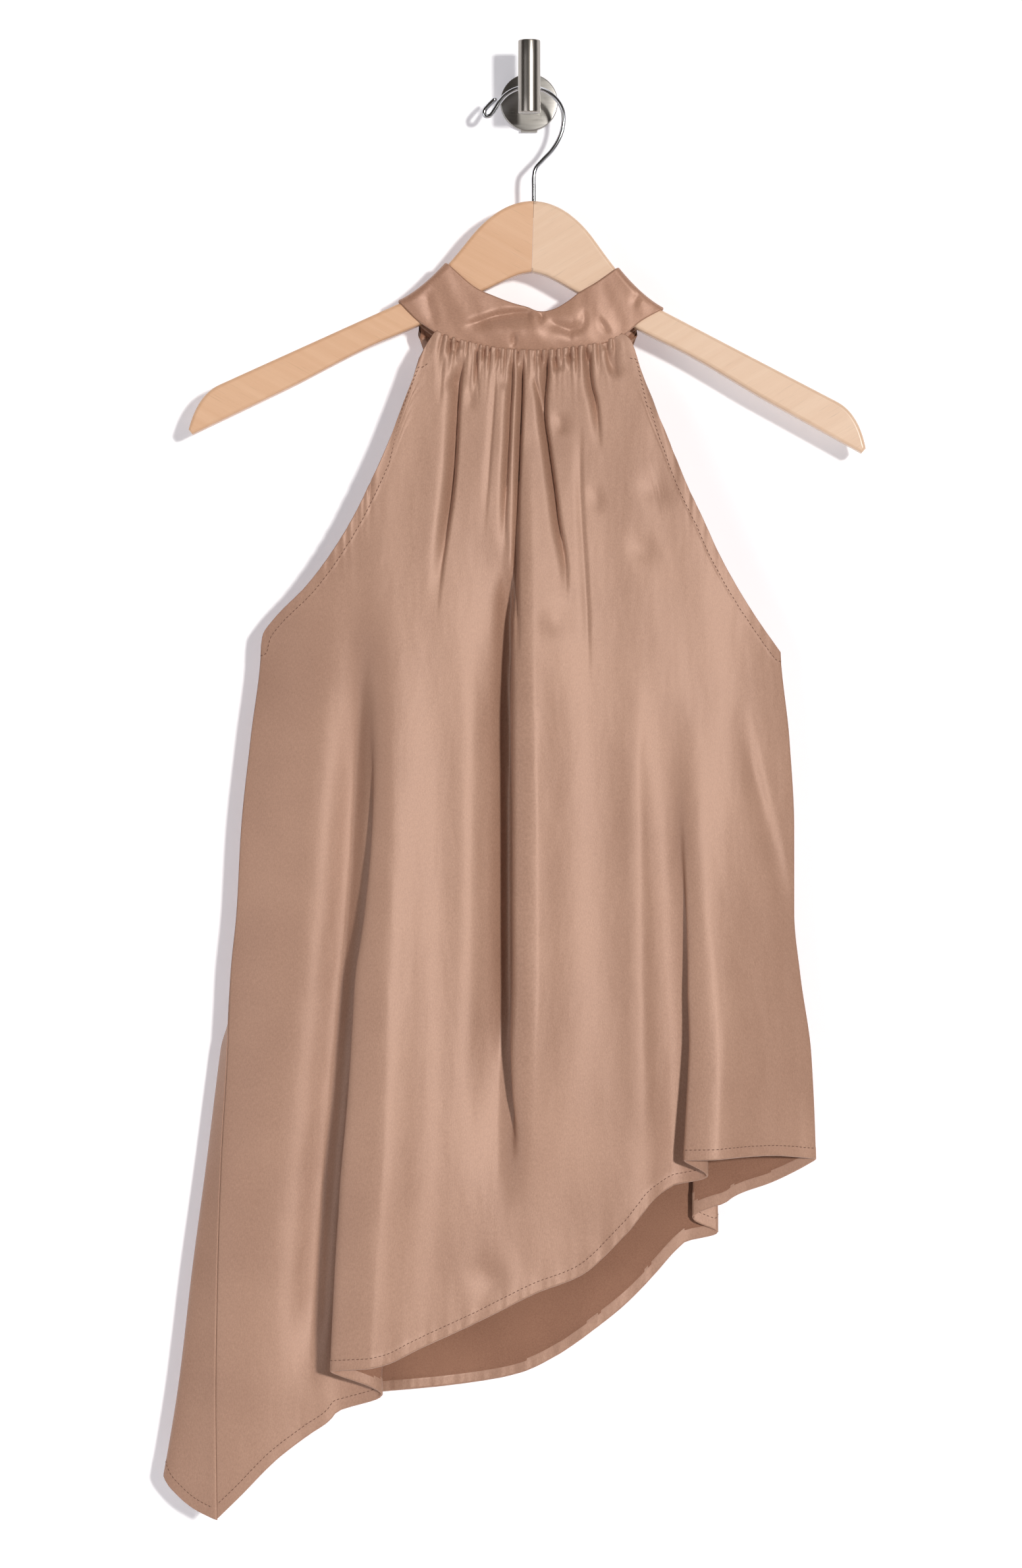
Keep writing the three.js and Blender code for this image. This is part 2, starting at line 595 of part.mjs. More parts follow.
// A point of the band: along from the left crest (0) to the right crest (1), across from its upper edge
// (0) to its lower edge (1), off the distance from the hanger's middle plane, side -1 in front and 1 at
// the back.
function bandPoint(along, across, off, side) {
  const high = bandTop.getPointAt(clamp01(along));
  const low = bandBottom.getPointAt(clamp01(along));
  const p = high.lerp(low, across);
  for (const end of [-1, 1]) {
    const c = crest(across, end);
    const a = crest(0, end);
    const b = crest(1, end);
    const fade = Math.exp(-(end < 0 ? along : 1 - along) / 0.1);
    p.x += (c.x - lerp(a.x, b.x, across)) * fade;
    p.z += (c.y - lerp(a.y, b.y, across)) * fade;
  }
  if (side > 0) p.z -= BACK_DROOP * Math.sin(Math.PI * clamp01(along));
  const slack = Math.sin(Math.PI * clamp01(along)) ** 2 * Math.sin(Math.PI * across);
  let out = BAND_SLACK * slack;
  for (const b of BUCKLES) {
    const u = (along - b.along - b.lean * (across - b.across) * 0.2) / b.wide;
    const v = (across - b.across) / b.tall;
    out -= b.depth * Math.exp(-u * u - v * v) * (side < 0 ? 1 : 0.6) * clamp01(slack * 3);
  }
  p.y = HANGER_Y + side * (off + out);
  return p;
}

// Height of the band's lower edge at x, in front and at the back.
function bandSeam(side) {
  const rows = [];
  for (let i = 0; i <= 40; i++) {
    const p = bandPoint(0.04 + (0.92 * i) / 40, 1, BAND_OFF, side);
    rows.push([p.x, p.z]);
  }
  return track(rows);
}

// Stations over one arm: how far along the run and how far off the middle plane.
const ARCH_RUN = 0.024;
const ARCH = table("run off", [[0, 0], [0, 3.4], [0.004, 5.6], [0.012, 6.8], [ARCH_RUN, BAND_OFF]]);
const BAND_ACROSS = 5;
const FRONT_STATIONS = 30;
const BACK_STEP = 0.035;

function bandStations() {
  const front = [];
  for (let i = 1; i < FRONT_STATIONS; i++)
    front.push({ along: lerp(ARCH_RUN, 1 - ARCH_RUN, i / FRONT_STATIONS), off: BAND_OFF, side: -1 });
  const leftArch = ARCH.map((a) => ({ along: a.run, off: a.off, side: -1 }));
  const rightArch = ARCH.map((a) => ({ along: 1 - a.run, off: a.off, side: -1 })).reverse();
  const toBack = (stations) => stations.filter((s) => s.off > 0).map((s) => ({ ...s, side: 1 })).reverse();
  const lapShare = LAP / 2 / BAND_LENGTH;
  const back = (from, to, out) => {
    const rows = [];
    const count = Math.round(Math.abs(to - from) / BACK_STEP);
    for (let i = 1; i <= count; i++) {
      const along = lerp(from, to, i / count);
      rows.push({ along, off: BAND_OFF + out * ease((Math.abs(along - from) - 0.3) / 0.1), side: 1 });
    }
    return rows;
  };
  const outer = back(1 - ARCH_RUN, 0.5 - lapShare, LAP_OFF);
  const inner = back(ARCH_RUN, 0.5 + lapShare, 0).reverse();
  return [...inner, ...toBack(leftArch), ...leftArch, ...front, ...rightArch, ...toBack(rightArch), ...outer];
}

function bandGeometry() {
  const points = [];
  const rows = bandStations().map((s) =>
    Array.from({ length: BAND_ACROSS + 1 }, (_, k) => {
      points.push(bandPoint(s.along, k / BAND_ACROSS, s.off, s.side));
      return [k, points.length - 1];
    }),
  );
  const triangles = [];
  for (let r = 0; r + 1 < rows.length; r++) stitch(rows[r], rows[r + 1], 1, triangles);
  return wallGeometry(points, triangles, BAND);
}

// Panels, which hang from the band's lower edge

const front = new Panel({
  folds: FRONT_FOLDS,
  gathers: FRONT_GATHERS,
  hem: FRONT_HEM,
  armholes: ARMHOLES.front,
  flare: 0,
  seamHeight: bandSeam(-1),
  middle: "front",
  gatherSide: 1,
  wrap: frontWrap,
});
const back = new Panel({
  folds: BACK_FOLDS,
  gathers: BACK_GATHERS,
  hem: BACK_HEM,
  armholes: ARMHOLES.back,
  flare: 0.2,
  seamHeight: bandSeam(1),
  middle: "back",
  gatherSide: -1,
  wrap: backWrap,
});

// The opening at the centre back, under the band: a drop shape cut through the back panel.
const DROP = { width: 12, length: 105, top: -160, slit: 1.6, above: 15, below: 10, round: 2 };

function backGeometry() {
  const { width, length, top, slit, above, below, round } = DROP;
  const middle = top - length / 2;
  const end = top - length;
  const shape = new THREE.Shape();
  shape.moveTo(-slit, top + above);
  shape.lineTo(slit, top + above);
  shape.lineTo(slit, top - below);
  shape.bezierCurveTo(width / 2, middle, width / 2 + round, end, 0, end);
  shape.bezierCurveTo(-width / 2 - round, end, -width / 2, middle, -slit, top - below);
  const cutter = new THREE.ExtrudeGeometry(shape, { depth: 24, bevelEnabled: false, curveSegments: 8 });
  cutter.rotateX(Math.PI / 2).translate(BACK_CENTRE, -2, 0);
  return geometryOf(solidOf(panelGeometry(back, -1)).subtract(solidOf(cutter)));
}

// The closure: two small domed buttons on the lap of the band.
const BACK_CENTRE = bandPoint(0.5, 0.5, BAND_OFF, 1).x;
const BUTTON = table("radius height", [[0, 0], [3.9, 0], [4.5, 1.0], [3.6, 1.8], [2.0, 2.25], [0, 2.4]]);
const BUTTON_PLACES = { upper: 0.28, lower: 0.74 };

function buttonGeometry(across) {
  const profile = BUTTON.map(({ radius, height }) => new THREE.Vector2(radius, height));
  const button = new THREE.LatheGeometry(profile, 20);
  const lap = BAND_OFF + LAP_OFF;
  const at = bandPoint(0.5, across, lap, 1);
  // The flat back of the button clears the highest place of the band behind it.
  const under = [-0.1, -0.05, 0, 0.05, 0.1].map((shift) => bandPoint(0.5, across + shift, lap, 1).y);
  return button.translate(at.x, Math.max(...under) + BAND / 2 + SEAM_GAP + 0.1, at.z);
}

// The scene graph

const FINISH = {
  satin: { color: 0xb58f78, roughness: 0.45, metalness: 0 },
  wood: { color: 0xe6bd8f, roughness: 0.45, metalness: 0 },
  chrome: { color: 0xd5d7da, roughness: 0.12, metalness: 1 },
  nickel: { color: 0xaaa59a, roughness: 0.32, metalness: 1 },
};

function meshOf(name, geometry, finish) {
  const mesh = new THREE.Mesh(geometry, new THREE.MeshStandardMaterial(finish));
  mesh.name = name;
  return mesh;
}

const wood = hangerHalves();
const garment = new THREE.Group();
garment.add(
  meshOf("front_panel", panelGeometry(front, 1), FINISH.satin),
  meshOf("back_panel", backGeometry(), FINISH.satin),
  meshOf("neckband", bandGeometry(), FINISH.satin),
);
for (const [place, across] of Object.entries(BUTTON_PLACES))
  garment.add(meshOf("button_" + place, buttonGeometry(across), FINISH.satin));
const hanger = new THREE.Group();
hanger.add(
  meshOf("hanger_left", wood.left, FINISH.wood),
  meshOf("hanger_right", wood.right, FINISH.wood),
  meshOf("hanger_hook", wireGeometry(), FINISH.chrome),
);
const wallHook = new THREE.Group();
wallHook.add(
  meshOf("wall_plate", plateGeometry(), FINISH.nickel),
  meshOf("hook_post", postGeometry(), FINISH.nickel),
);

const top = new THREE.Group();
top.add(garment, hanger, wallHook);
export default top;
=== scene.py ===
"""Looks of a satin halter neck top on a flat wooden hanger and a brushed metal wall hook.

Tables are in millimetres, +Z up, +X to the viewer's right and -Y towards the viewer, with the wall as the
plane y = 0 and the origin at the centre of the wall plate's back. Meshes are made in metres.
"""

import logging
import math
from collections.abc import Callable, Sequence
from dataclasses import dataclass, field
from enum import Enum

import bpy
import numpy as np
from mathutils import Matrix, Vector


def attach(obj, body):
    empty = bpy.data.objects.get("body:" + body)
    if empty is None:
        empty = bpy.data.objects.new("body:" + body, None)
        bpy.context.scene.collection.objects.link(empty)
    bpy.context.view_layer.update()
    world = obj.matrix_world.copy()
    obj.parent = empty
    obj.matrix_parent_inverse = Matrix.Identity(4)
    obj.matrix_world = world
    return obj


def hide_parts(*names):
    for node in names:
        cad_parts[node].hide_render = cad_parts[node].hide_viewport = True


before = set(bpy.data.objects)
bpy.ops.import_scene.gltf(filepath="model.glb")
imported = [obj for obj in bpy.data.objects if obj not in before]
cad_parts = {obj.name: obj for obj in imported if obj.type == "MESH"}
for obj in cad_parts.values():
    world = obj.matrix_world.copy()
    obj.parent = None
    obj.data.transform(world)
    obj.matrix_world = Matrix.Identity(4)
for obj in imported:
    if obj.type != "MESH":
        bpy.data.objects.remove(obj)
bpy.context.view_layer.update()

log = logging.getLogger("halter_top")

MM = 0.001
HALVINGS = 40  # rounds of a search between two ends
Array = np.ndarray

SEAM_GAP = 0.3  # between any two solids that touch
CLOTH = 1.0  # wall of the panels' solids
BAND = 1.6  # wall of the doubled neckband
HANGER_Y = -26.0  # middle plane of the hanger and its hook
HANGER_THICK = 12.0
HANGER_APEX = (3.0, -68.0)  # x and z where the hook enters the top of the hanger
HANGER_TILT = math.radians(1.6)  # right arm low


# Numbers


def ease(value: Array | float) -> Array:
    """Smooth step from 0 to 1."""
    v = np.clip(value, 0.0, 1.0)
    return v * v * (3.0 - 2.0 * v)


def fades(value: Array | float) -> Array:
    """Bell curve, 1 at 0."""
    return np.exp(-np.square(value))


def lerp(a: Array | float, b: Array | float, t: Array | float) -> Array:
    """Straight blend from a to b."""
    return a + (b - a) * t


def unit(v: Array) -> Array:
    """Vectors of length 1 along the last axis."""
    return v / np.maximum(np.linalg.norm(v, axis=-1, keepdims=True), 1e-9)


def hermite(places: Array, values: Array, at: Array) -> Array:
    """Smooth curve through values at places, level beyond both ends and with no overshoot.

    Args:
        places: rising places, one for each row of values.
        values: a row for each place, with one column, or one for each entry of at.
        at: where the curve is read.

    Returns:
        The curve's value for each entry of at.
    """
    slopes = np.diff(values, axis=0) / np.diff(places)[:, None]
    before = np.concatenate([slopes[:1], slopes])
    after = np.concatenate([slopes, slopes[-1:]])
    total = before + after
    safe = np.where(total == 0, 1.0, total)
    tangents = np.where(before * after <= 0, 0.0, 2.0 * before * after / safe)
    i = np.clip(np.searchsorted(places, at, side="left") - 1, 0, len(places) - 2)
    cols = np.arange(len(at)) if values.shape[1] > 1 else np.zeros(len(at), int)
    span = places[i + 1] - places[i]
    t = np.clip((at - places[i]) / span, 0.0, 1.0)
    r = 1.0 - t
    start, stop = values[i, cols], values[i + 1, cols]
    bend = span * t * r * (tangents[i, cols] * r - tangents[i + 1, cols] * t)
    return start * (1 + 2 * t) * r * r + stop * t * t * (3 - 2 * t) + bend


class Track:
    """A smooth curve through (place, value) pairs."""

    def __init__(self, pairs: Sequence[tuple[float, float]]) -> None:
        """Keeps the pairs in rising order of place.

        Args:
            pairs: the (place, value) pairs.
        """
        ordered = sorted(pairs)
        self.places = np.array([p for p, _ in ordered], float)
        self.values = np.array([[v] for _, v in ordered], float)

    def __call__(self, at: Array | float) -> Array:
        """The curve's values, in the shape of at."""
        flat = np.atleast_1d(np.asarray(at, float))
        return hermite(self.places, self.values, flat.ravel()).reshape(flat.shape)


def table(heading: str, rows: Sequence[Sequence[float]]) -> dict[str, Array]:
    """Columns of a table by name.

    Args:
        heading: the column names, with spaces between.
        rows: the table's rows.

    Returns:
        Each column as an array.
    """
    return dict(zip(heading.split(), np.array(rows, float).T))


def tracks_of(columns: dict[str, Array], place: str = "z") -> dict[str, Track]:
    """The track of each column of a table against one of them."""
    return {k: Track(list(zip(columns[place], v))) for k, v in columns.items()}


def meet(rising: Callable[[Array], Array], low: Array, high: Array) -> Array:
    """Where a rising function meets zero.

    Args:
        rising: the function.
        low: a place below the meeting point, for each entry.
        high: a place above it, for each entry.

    Returns:
        The meeting point of each entry.
    """
    low, high = np.array(low, float), np.array(high, float)
    for _ in range(HALVINGS):
        middle = (low + high) / 2
        under = rising(middle) < 0
        low, high = np.where(under, middle, low), np.where(under, high, middle)
    return (low + high) / 2


def ripples(at: Array, waves: Sequence[float], seed: int) -> Array:
    """Uneven waves, the sum of sines of the given lengths with seeded phases.

    Args:
        at: places along the waves.
        waves: the wave lengths.
        seed: picks the phases.

    Returns:
        A value of about -1 to 1 for each place.
    """
    phases = np.random.default_rng(seed).uniform(0, 2 * np.pi, len(waves))
    return sum(np.sin(2 * np.pi * at / w + p) for w, p in zip(waves, phases)) / len(waves)


def catmull(points: Sequence[Sequence[float]], per_span: int = 24) -> Array:
    """Centripetal Catmull-Rom curve through points.

    Args:
        points: the points, of any dimension.
        per_span: how many samples each span takes.

    Returns:
        The samples, a row each.
    """
    p = np.array(points, float)
    p = np.vstack([2 * p[0] - p[1], p, 2 * p[-1] - p[-2]])
    out = []
    for i in range(1, len(p) - 2):
        q = p[i - 1 : i + 3]
        gaps = np.maximum(np.linalg.norm(np.diff(q, axis=0), axis=1), 1e-9) ** 0.5
        t = np.concatenate([[0.0], np.cumsum(gaps)])
        last = i == len(p) - 3
        at = np.linspace(t[1], t[2], per_span + (1 if last else 0), endpoint=last)[:, None]
        a = [
            (t[k + 1] - at) / gaps[k] * q[k] + (at - t[k]) / gaps[k] * q[k + 1]
            for k in range(3)
        ]
        b = [
            (t[k + 2] - at) / (t[k + 2] - t[k]) * a[k] + (at - t[k]) / (t[k + 2] - t[k]) * a[k + 1]
            for k in range(2)
        ]
        out.append((t[2] - at) / gaps[1] * b[0] + (at - t[1]) / gaps[1] * b[1])
    return np.vstack(out)


def by_length(curve: Array, at: Array) -> Array:
    """Points of a sampled curve.

    Args:
        curve: the samples, a row each.
        at: shares of the curve's length.

    Returns:
        A point for each share.
    """
    lengths = np.concatenate([[0.0], np.cumsum(np.linalg.norm(np.diff(curve, axis=0), axis=1))])
    share = lengths / lengths[-1]
    return np.stack([np.interp(at, share, curve[:, k]) for k in range(curve.shape[1])], axis=-1)


def bezier(points: Sequence[Sequence[float]], count: int) -> Array:
    """Samples of a cubic Bezier curve.

    Args:
        points: its four control points.
        count: how many spans.

    Returns:
        The samples, a row each.
    """
    p = np.array(points, float)
    t = np.linspace(0, 1, count + 1)[:, None]
    return (1 - t) ** 3 * p[0] + 3 * (1 - t) ** 2 * t * p[1] + 3 * (1 - t) * t * t * p[2] + t**3 * p[3]


# Shader and mesh tools


def linear(rgb: Sequence[float]) -> tuple[float, float, float, float]:
    """Linear colour of 0 to 255 display values."""
    c = [v / 255 for v in rgb]
    return (*[v / 12.92 if v <= 0.04045 else ((v + 0.055) / 1.055) ** 2.4 for v in c], 1.0)


class Signal:
    """A node's output socket, on which Python's operators add Math nodes."""

    def __init__(self, graph: "Graph", socket: bpy.types.NodeSocket | None) -> None:
        """Wraps a socket of a graph, or nothing for a node that ends the tree."""
        self.graph = graph
        self.socket = socket

    def _math(self, operation: str, a: "Signal | float", b: "Signal | float") -> "Signal":
        """Adds a Math node on two values."""
        return self.graph.node("ShaderNodeMath", {"operation": operation}, {0: a, 1: b})

    def __add__(self, other: "Signal | float") -> "Signal":
        """Sum."""
        return self._math("ADD", self, other)

    __radd__ = __add__

    def __mul__(self, other: "Signal | float") -> "Signal":
        """Product."""
        return self._math("MULTIPLY", self, other)

    __rmul__ = __mul__


class Graph:
    """A material's or a world's node tree while it is built."""

    def __init__(self, name: str, owner: bpy.types.World | None = None) -> None:
        """Starts an empty tree.

        Args:
            name: the name of the new material, where no owner is given.
            owner: the world whose tree it is instead.
        """
        self.owner = owner or bpy.data.materials.new(name)
        self.owner.use_nodes = True
        self.tree = self.owner.node_tree
        self.tree.nodes.clear()

    def node(
        self,
        kind: str,
        settings: dict[str, object] | None = None,
        inputs: dict[int | str, object] | None = None,
        output: int | str = 0,
    ) -> Signal:
        """Adds a node.

        Args:
            kind: the node's type name.
            settings: properties that are set first.
            inputs: values or signals by input name or number.
            output: which output is returned.

        Returns:
            The chosen output.
        """
        made = self.tree.nodes.new(kind)
        for key, value in (settings or {}).items():
            setattr(made, key, value)
        for key, value in (inputs or {}).items():
            if isinstance(value, Signal):
                self.tree.links.new(value.socket, made.inputs[key])
            else:
                made.inputs[key].default_value = value
        return Signal(self, made.outputs[output] if made.outputs else None)

    def mix(self, factor: Signal | float, a: object, b: object) -> Signal:
        """Colour mix of a and b."""
        return self.node("ShaderNodeMix", {"data_type": "RGBA"}, {0: factor, 6: a, 7: b}, 2)

    def shade(self, place: Signal, low: float, high: float) -> Signal:
        """A value spread linearly from low..high to 0..1, held at the ends."""
        return self.node("ShaderNodeMapRange", {}, {0: place, 1: low, 2: high})

    def noise(self, vector: Signal, scale: float, detail: float = 2.0, rough: float = 0.5) -> Signal:
        """Noise of about 0 to 1 with the given cells to a unit."""
        look = {"Vector": vector, "Scale": scale, "Detail": detail, "Roughness": rough}
        return self.node("ShaderNodeTexNoise", {}, look)

    def stretched(self, vector: Signal, scale: Sequence[float], turn: float = 0.0) -> Signal:
        """Coordinates turned about y, then scaled."""
        straight = self.node("ShaderNodeMapping", {}, {"Vector": vector, "Rotation": (0.0, turn, 0.0)})
        return self.node("ShaderNodeMapping", {}, {"Vector": straight, "Scale": tuple(scale)})

    def bump(self, height: Signal, distance: float) -> Signal:
        """Normal bumped by a height of 0 to 1 times distance in metres."""
        return self.node("ShaderNodeBump", {}, {"Strength": 1.0, "Distance": distance, "Height": height})

    def finish(self, inputs: dict[str, object]) -> bpy.types.Material:
        """Ends the tree in a Principled shader.

        Args:
            inputs: values or signals by input name.

        Returns:
            The finished material.
        """
        shader = self.node("ShaderNodeBsdfPrincipled", {}, inputs)
        self.node("ShaderNodeOutputMaterial", {}, {"Surface": shader})
        return self.owner


class MeshDraft:
    """Vertices, faces, texture coordinates and finishes of a piece before it is a mesh."""

    def __init__(self) -> None:
        """Starts empty."""
        self.points: list[Array] = []
        self.faces: list[tuple[int, ...]] = []
        self.kinds: list[int] = []
        self.count = 0
        self.uvs: list[Array] = []

    def add(self, points: Array, uv: Array | None = None) -> int:
        """Adds vertices.

        Args:
            points: the vertices.
            uv: their texture coordinates.

        Returns:
            The first one's number.
        """
        first = self.count
        self.points.append(np.asarray(points, float))
        self.uvs.append(np.zeros((len(points), 2)) if uv is None else np.asarray(uv, float))
        self.count += len(points)
        return first

    def face(self, corners: Sequence[int]) -> None:
        """Adds a face of the first finish."""
        self.faces.append(tuple(int(c) for c in corners))
        self.kinds.append(0)

    def rings(self, rings: Sequence[Array]) -> list[int]:
        """Joins closed rings of equal counts with quads.

        Args:
            rings: points of each ring.

        Returns:
            The first vertex number of each ring.
        """
        firsts = [self.add(r) for r in rings]
        n = len(rings[0])
        for a, b in zip(firsts, firsts[1:]):
            for i in range(n):
                j = (i + 1) % n
                self.face((a + i, a + j, b + j, b + i))
        return firsts

    def cap(self, firsts: Sequence[int], count: int) -> None:
        """Closes the first and the last ring, each of count points."""
        self.face([firsts[0] + i for i in reversed(range(count))])
        self.face([firsts[-1] + i for i in range(count)])

    def piece(
        self, name: str, materials: Sequence[bpy.types.Material], smooth: bool = True
    ) -> bpy.types.Object:
        """Makes the object, scaled from millimetres to metres.

        Args:
            name: the object's name.
            materials: the finishes, in the order of the finish numbers.
            smooth: whether faces are smooth shaded.

        Returns:
            The new object.
        """
        mesh = bpy.data.meshes.new(name)
        points = np.vstack(self.points) * MM
        mesh.from_pydata(points.tolist(), [], self.faces)
        mesh.polygons.foreach_set("material_index", self.kinds)
        mesh.polygons.foreach_set("use_smooth", [smooth] * len(self.faces))
        corners = np.empty(len(mesh.loops), int)
        mesh.loops.foreach_get("vertex_index", corners)
        layer = mesh.uv_layers.new(name="cloth")
        layer.data.foreach_set("uv", (np.vstack(self.uvs)[corners] * MM).ravel())
        for material in materials:
            mesh.materials.append(material)
        mesh.update()
        made = bpy.data.objects.new(name, mesh)
        bpy.context.scene.collection.objects.link(made)
        return made


class Slot(Enum):
    """The record's material slots."""

    SATIN = "satin"
    BUTTON = "covered_button"
    WOOD = "hanger_wood"
    WIRE = "hook_wire"
    NICKEL = "brushed_nickel"


def place(piece: bpy.types.Object, slot: Slot, *nodes: str) -> bpy.types.Object:
    """Makes a piece ride the frame and stand for CAD nodes.

    Args:
        piece: the finished object.
        slot: its material slot, not used.
        nodes: the CAD nodes it stands for.

    Returns:
        The same object.
    """
    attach(piece, "root")
    if nodes:
        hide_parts(*nodes)
    log.info("%s: %d faces", piece.name, len(piece.data.polygons))
    return piece


# Finishes


@dataclass(frozen=True)
class Satin:
    """Satin's right side: fine grain, soft mottling, a low broad gloss."""

    name: str
    light: tuple[float, float, float]
    dark: tuple[float, float, float]
    roughness: float = 0.44
    sheen: float = 0.12
    metallic: float = 0.15
    relief: float = 0.0005

    def build(self) -> bpy.types.Material:
        """The satin's material."""
        g = Graph(self.name)
        uv = g.node("ShaderNodeUVMap", {"uv_map": "cloth"})
        solid = g.node("ShaderNodeTexCoord", {}, {}, "Object")
        threads = g.noise(g.stretched(uv, (1500.0, 420.0, 1.0)), 1.0, 2.0, 0.6)
        specks = g.noise(solid, 900.0, 2.0, 0.7)
        cloud = g.noise(solid, 16.0, 2.0, 0.5)
        tone = g.shade(threads * 0.45 + specks * 0.4 + cloud * 0.35, 0.38, 0.84)
        colour = g.mix(tone, linear(self.dark), linear(self.light))
        wrinkle = g.noise(g.stretched(solid, (1.0, 1.0, 0.35)), 70.0, 2.0, 0.5)
        fine = g.bump(threads * 0.6 + specks * 0.4, 0.00006)
        relief = {"Strength": 1.0, "Distance": self.relief, "Height": wrinkle, "Normal": fine}
        normal = g.node("ShaderNodeBump", {}, relief)
        rough = self.roughness + cloud * 0.06 + specks * 0.08
        return g.finish(
            {
                "Base Color": colour,
                "Metallic": self.metallic,
                "Roughness": rough,
                "Normal": normal,
                "Sheen Weight": self.sheen,
                "Sheen Roughness": 0.45,
                "Sheen Tint": (1.0, 0.9, 0.84, 1.0),
                "Specular IOR Level": 0.55,
            }
        )


@dataclass(frozen=True)
class Reverse:
    """Satin's wrong side: matte crepe."""

    name: str
    light: tuple[float, float, float]
    dark: tuple[float, float, float]

    def build(self) -> bpy.types.Material:
        """The reverse's material."""
        g = Graph(self.name)
        solid = g.node("ShaderNodeTexCoord", {}, {}, "Object")
        crepe = g.noise(solid, 1100.0, 2.0, 0.7)
        cloud = g.noise(solid, 20.0, 2.0, 0.5)
        tone = g.shade(crepe * 0.6 + cloud * 0.4, 0.35, 0.65)
        colour = g.mix(tone, linear(self.dark), linear(self.light))
        return g.finish(
            {
                "Base Color": colour,
                "Roughness": 0.82 + crepe * 0.1,
                "Normal": g.bump(crepe, 0.00008),
                "Sheen Weight": 0.15,
                "Specular IOR Level": 0.25,
            }
        )


@dataclass(frozen=True)
class Thread:
    """Sewing thread."""

    name: str
    colour: tuple[float, float, float]

    def build(self) -> bpy.types.Material:
        """The thread's material."""
        g = Graph(self.name)
        solid = g.node("ShaderNodeTexCoord", {}, {}, "Object")
        twist = g.noise(solid, 2200.0, 2.0, 0.5)
        dark = tuple(v * 0.8 for v in self.colour)
        return g.finish(
            {
                "Base Color": g.mix(twist, linear(dark), linear(self.colour)),
                "Roughness": 0.5 + twist * 0.1,
                "Normal": g.bump(twist, 0.00005),
            }
        )


@dataclass(frozen=True)
class Wood:
    """Lacquered pale wood with its grain along one arm of the hanger."""

    name: str
    light: tuple[float, float, float]
    dark: tuple[float, float, float]
    slope: float
    roughness: float = 0.38

    def build(self) -> bpy.types.Material:
        """The wood's material."""
        g = Graph(self.name)
        solid = g.node("ShaderNodeTexCoord", {}, {}, "Object")
        lines = g.noise(g.stretched(solid, (5.0, 60.0, 190.0), self.slope), 1.0, 5.0, 0.62)
        pores = g.noise(g.stretched(solid, (55.0, 900.0, 1500.0), self.slope), 1.0, 2.0, 0.6)
        cloud = g.noise(g.stretched(solid, (6.0, 20.0, 30.0), self.slope), 1.0, 2.0, 0.5)
        tone = g.shade(lines * 0.55 + cloud * 0.45, 0.34, 0.66)
        colour = g.mix(tone, linear(self.dark), linear(self.light))
        fleck = g.shade(pores, 0.62, 0.78) * 0.28
        colour = g.mix(fleck, colour, linear([v * 0.72 for v in self.dark]))
        return g.finish(
            {
                "Base Color": colour,
                "Roughness": self.roughness + lines * 0.12,
                "Normal": g.bump(lines * 0.6 + pores * 0.4, 0.00008),
                "Coat Weight": 0.35,
                "Coat Roughness": 0.22,
            }
        )


@dataclass(frozen=True)
class Metal:
    """Bare metal, plain or brushed along one direction."""

    name: str
    colour: tuple[float, float, float]
    roughness: float
    strokes: tuple[float, float, float]
    relief: float

    def build(self) -> bpy.types.Material:
        """The metal's material."""
        g = Graph(self.name)
        solid = g.node("ShaderNodeTexCoord", {}, {}, "Object")
        brushed = g.noise(g.stretched(solid, self.strokes), 1.0, 3.0, 0.6)
        haze = g.noise(solid, 120.0, 2.0, 0.5)
        dark = [v * 0.86 for v in self.colour]
        return g.finish(
            {
                "Base Color": g.mix(brushed * 0.8 + haze * 0.2, linear(dark), linear(self.colour)),
                "Metallic": 1.0,
                "Roughness": self.roughness + brushed * 0.12,
                "Normal": g.bump(brushed, self.relief),
            }
        )


SATIN = Satin("satin", (189, 149, 126), (160, 121, 100))
SATIN_BAND = Satin("satin_band", (190, 146, 121), (160, 118, 96), 0.4)
REVERSE = Reverse("satin_reverse", (158, 116, 94), (140, 100, 80))
THREAD = Thread("thread", (132, 95, 76))
WOOD_LEFT = Wood("wood_left", (228, 184, 148), (218, 170, 132), math.radians(-29.0))
WOOD_RIGHT = Wood("wood_right", (234, 202, 174), (226, 190, 160), math.radians(31.0), 0.34)
CHROME = Metal("chrome", (225, 226, 230), 0.06, (200.0, 200.0, 200.0), 0.000002)
NICKEL_POST = Metal("nickel_post", (178, 172, 164), 0.22, (900.0, 900.0, 14.0), 0.00001)
NICKEL_PLATE = Metal("nickel_plate", (182, 178, 172), 0.24, (60.0, 500.0, 1100.0), 0.00001)


# Form of the panels

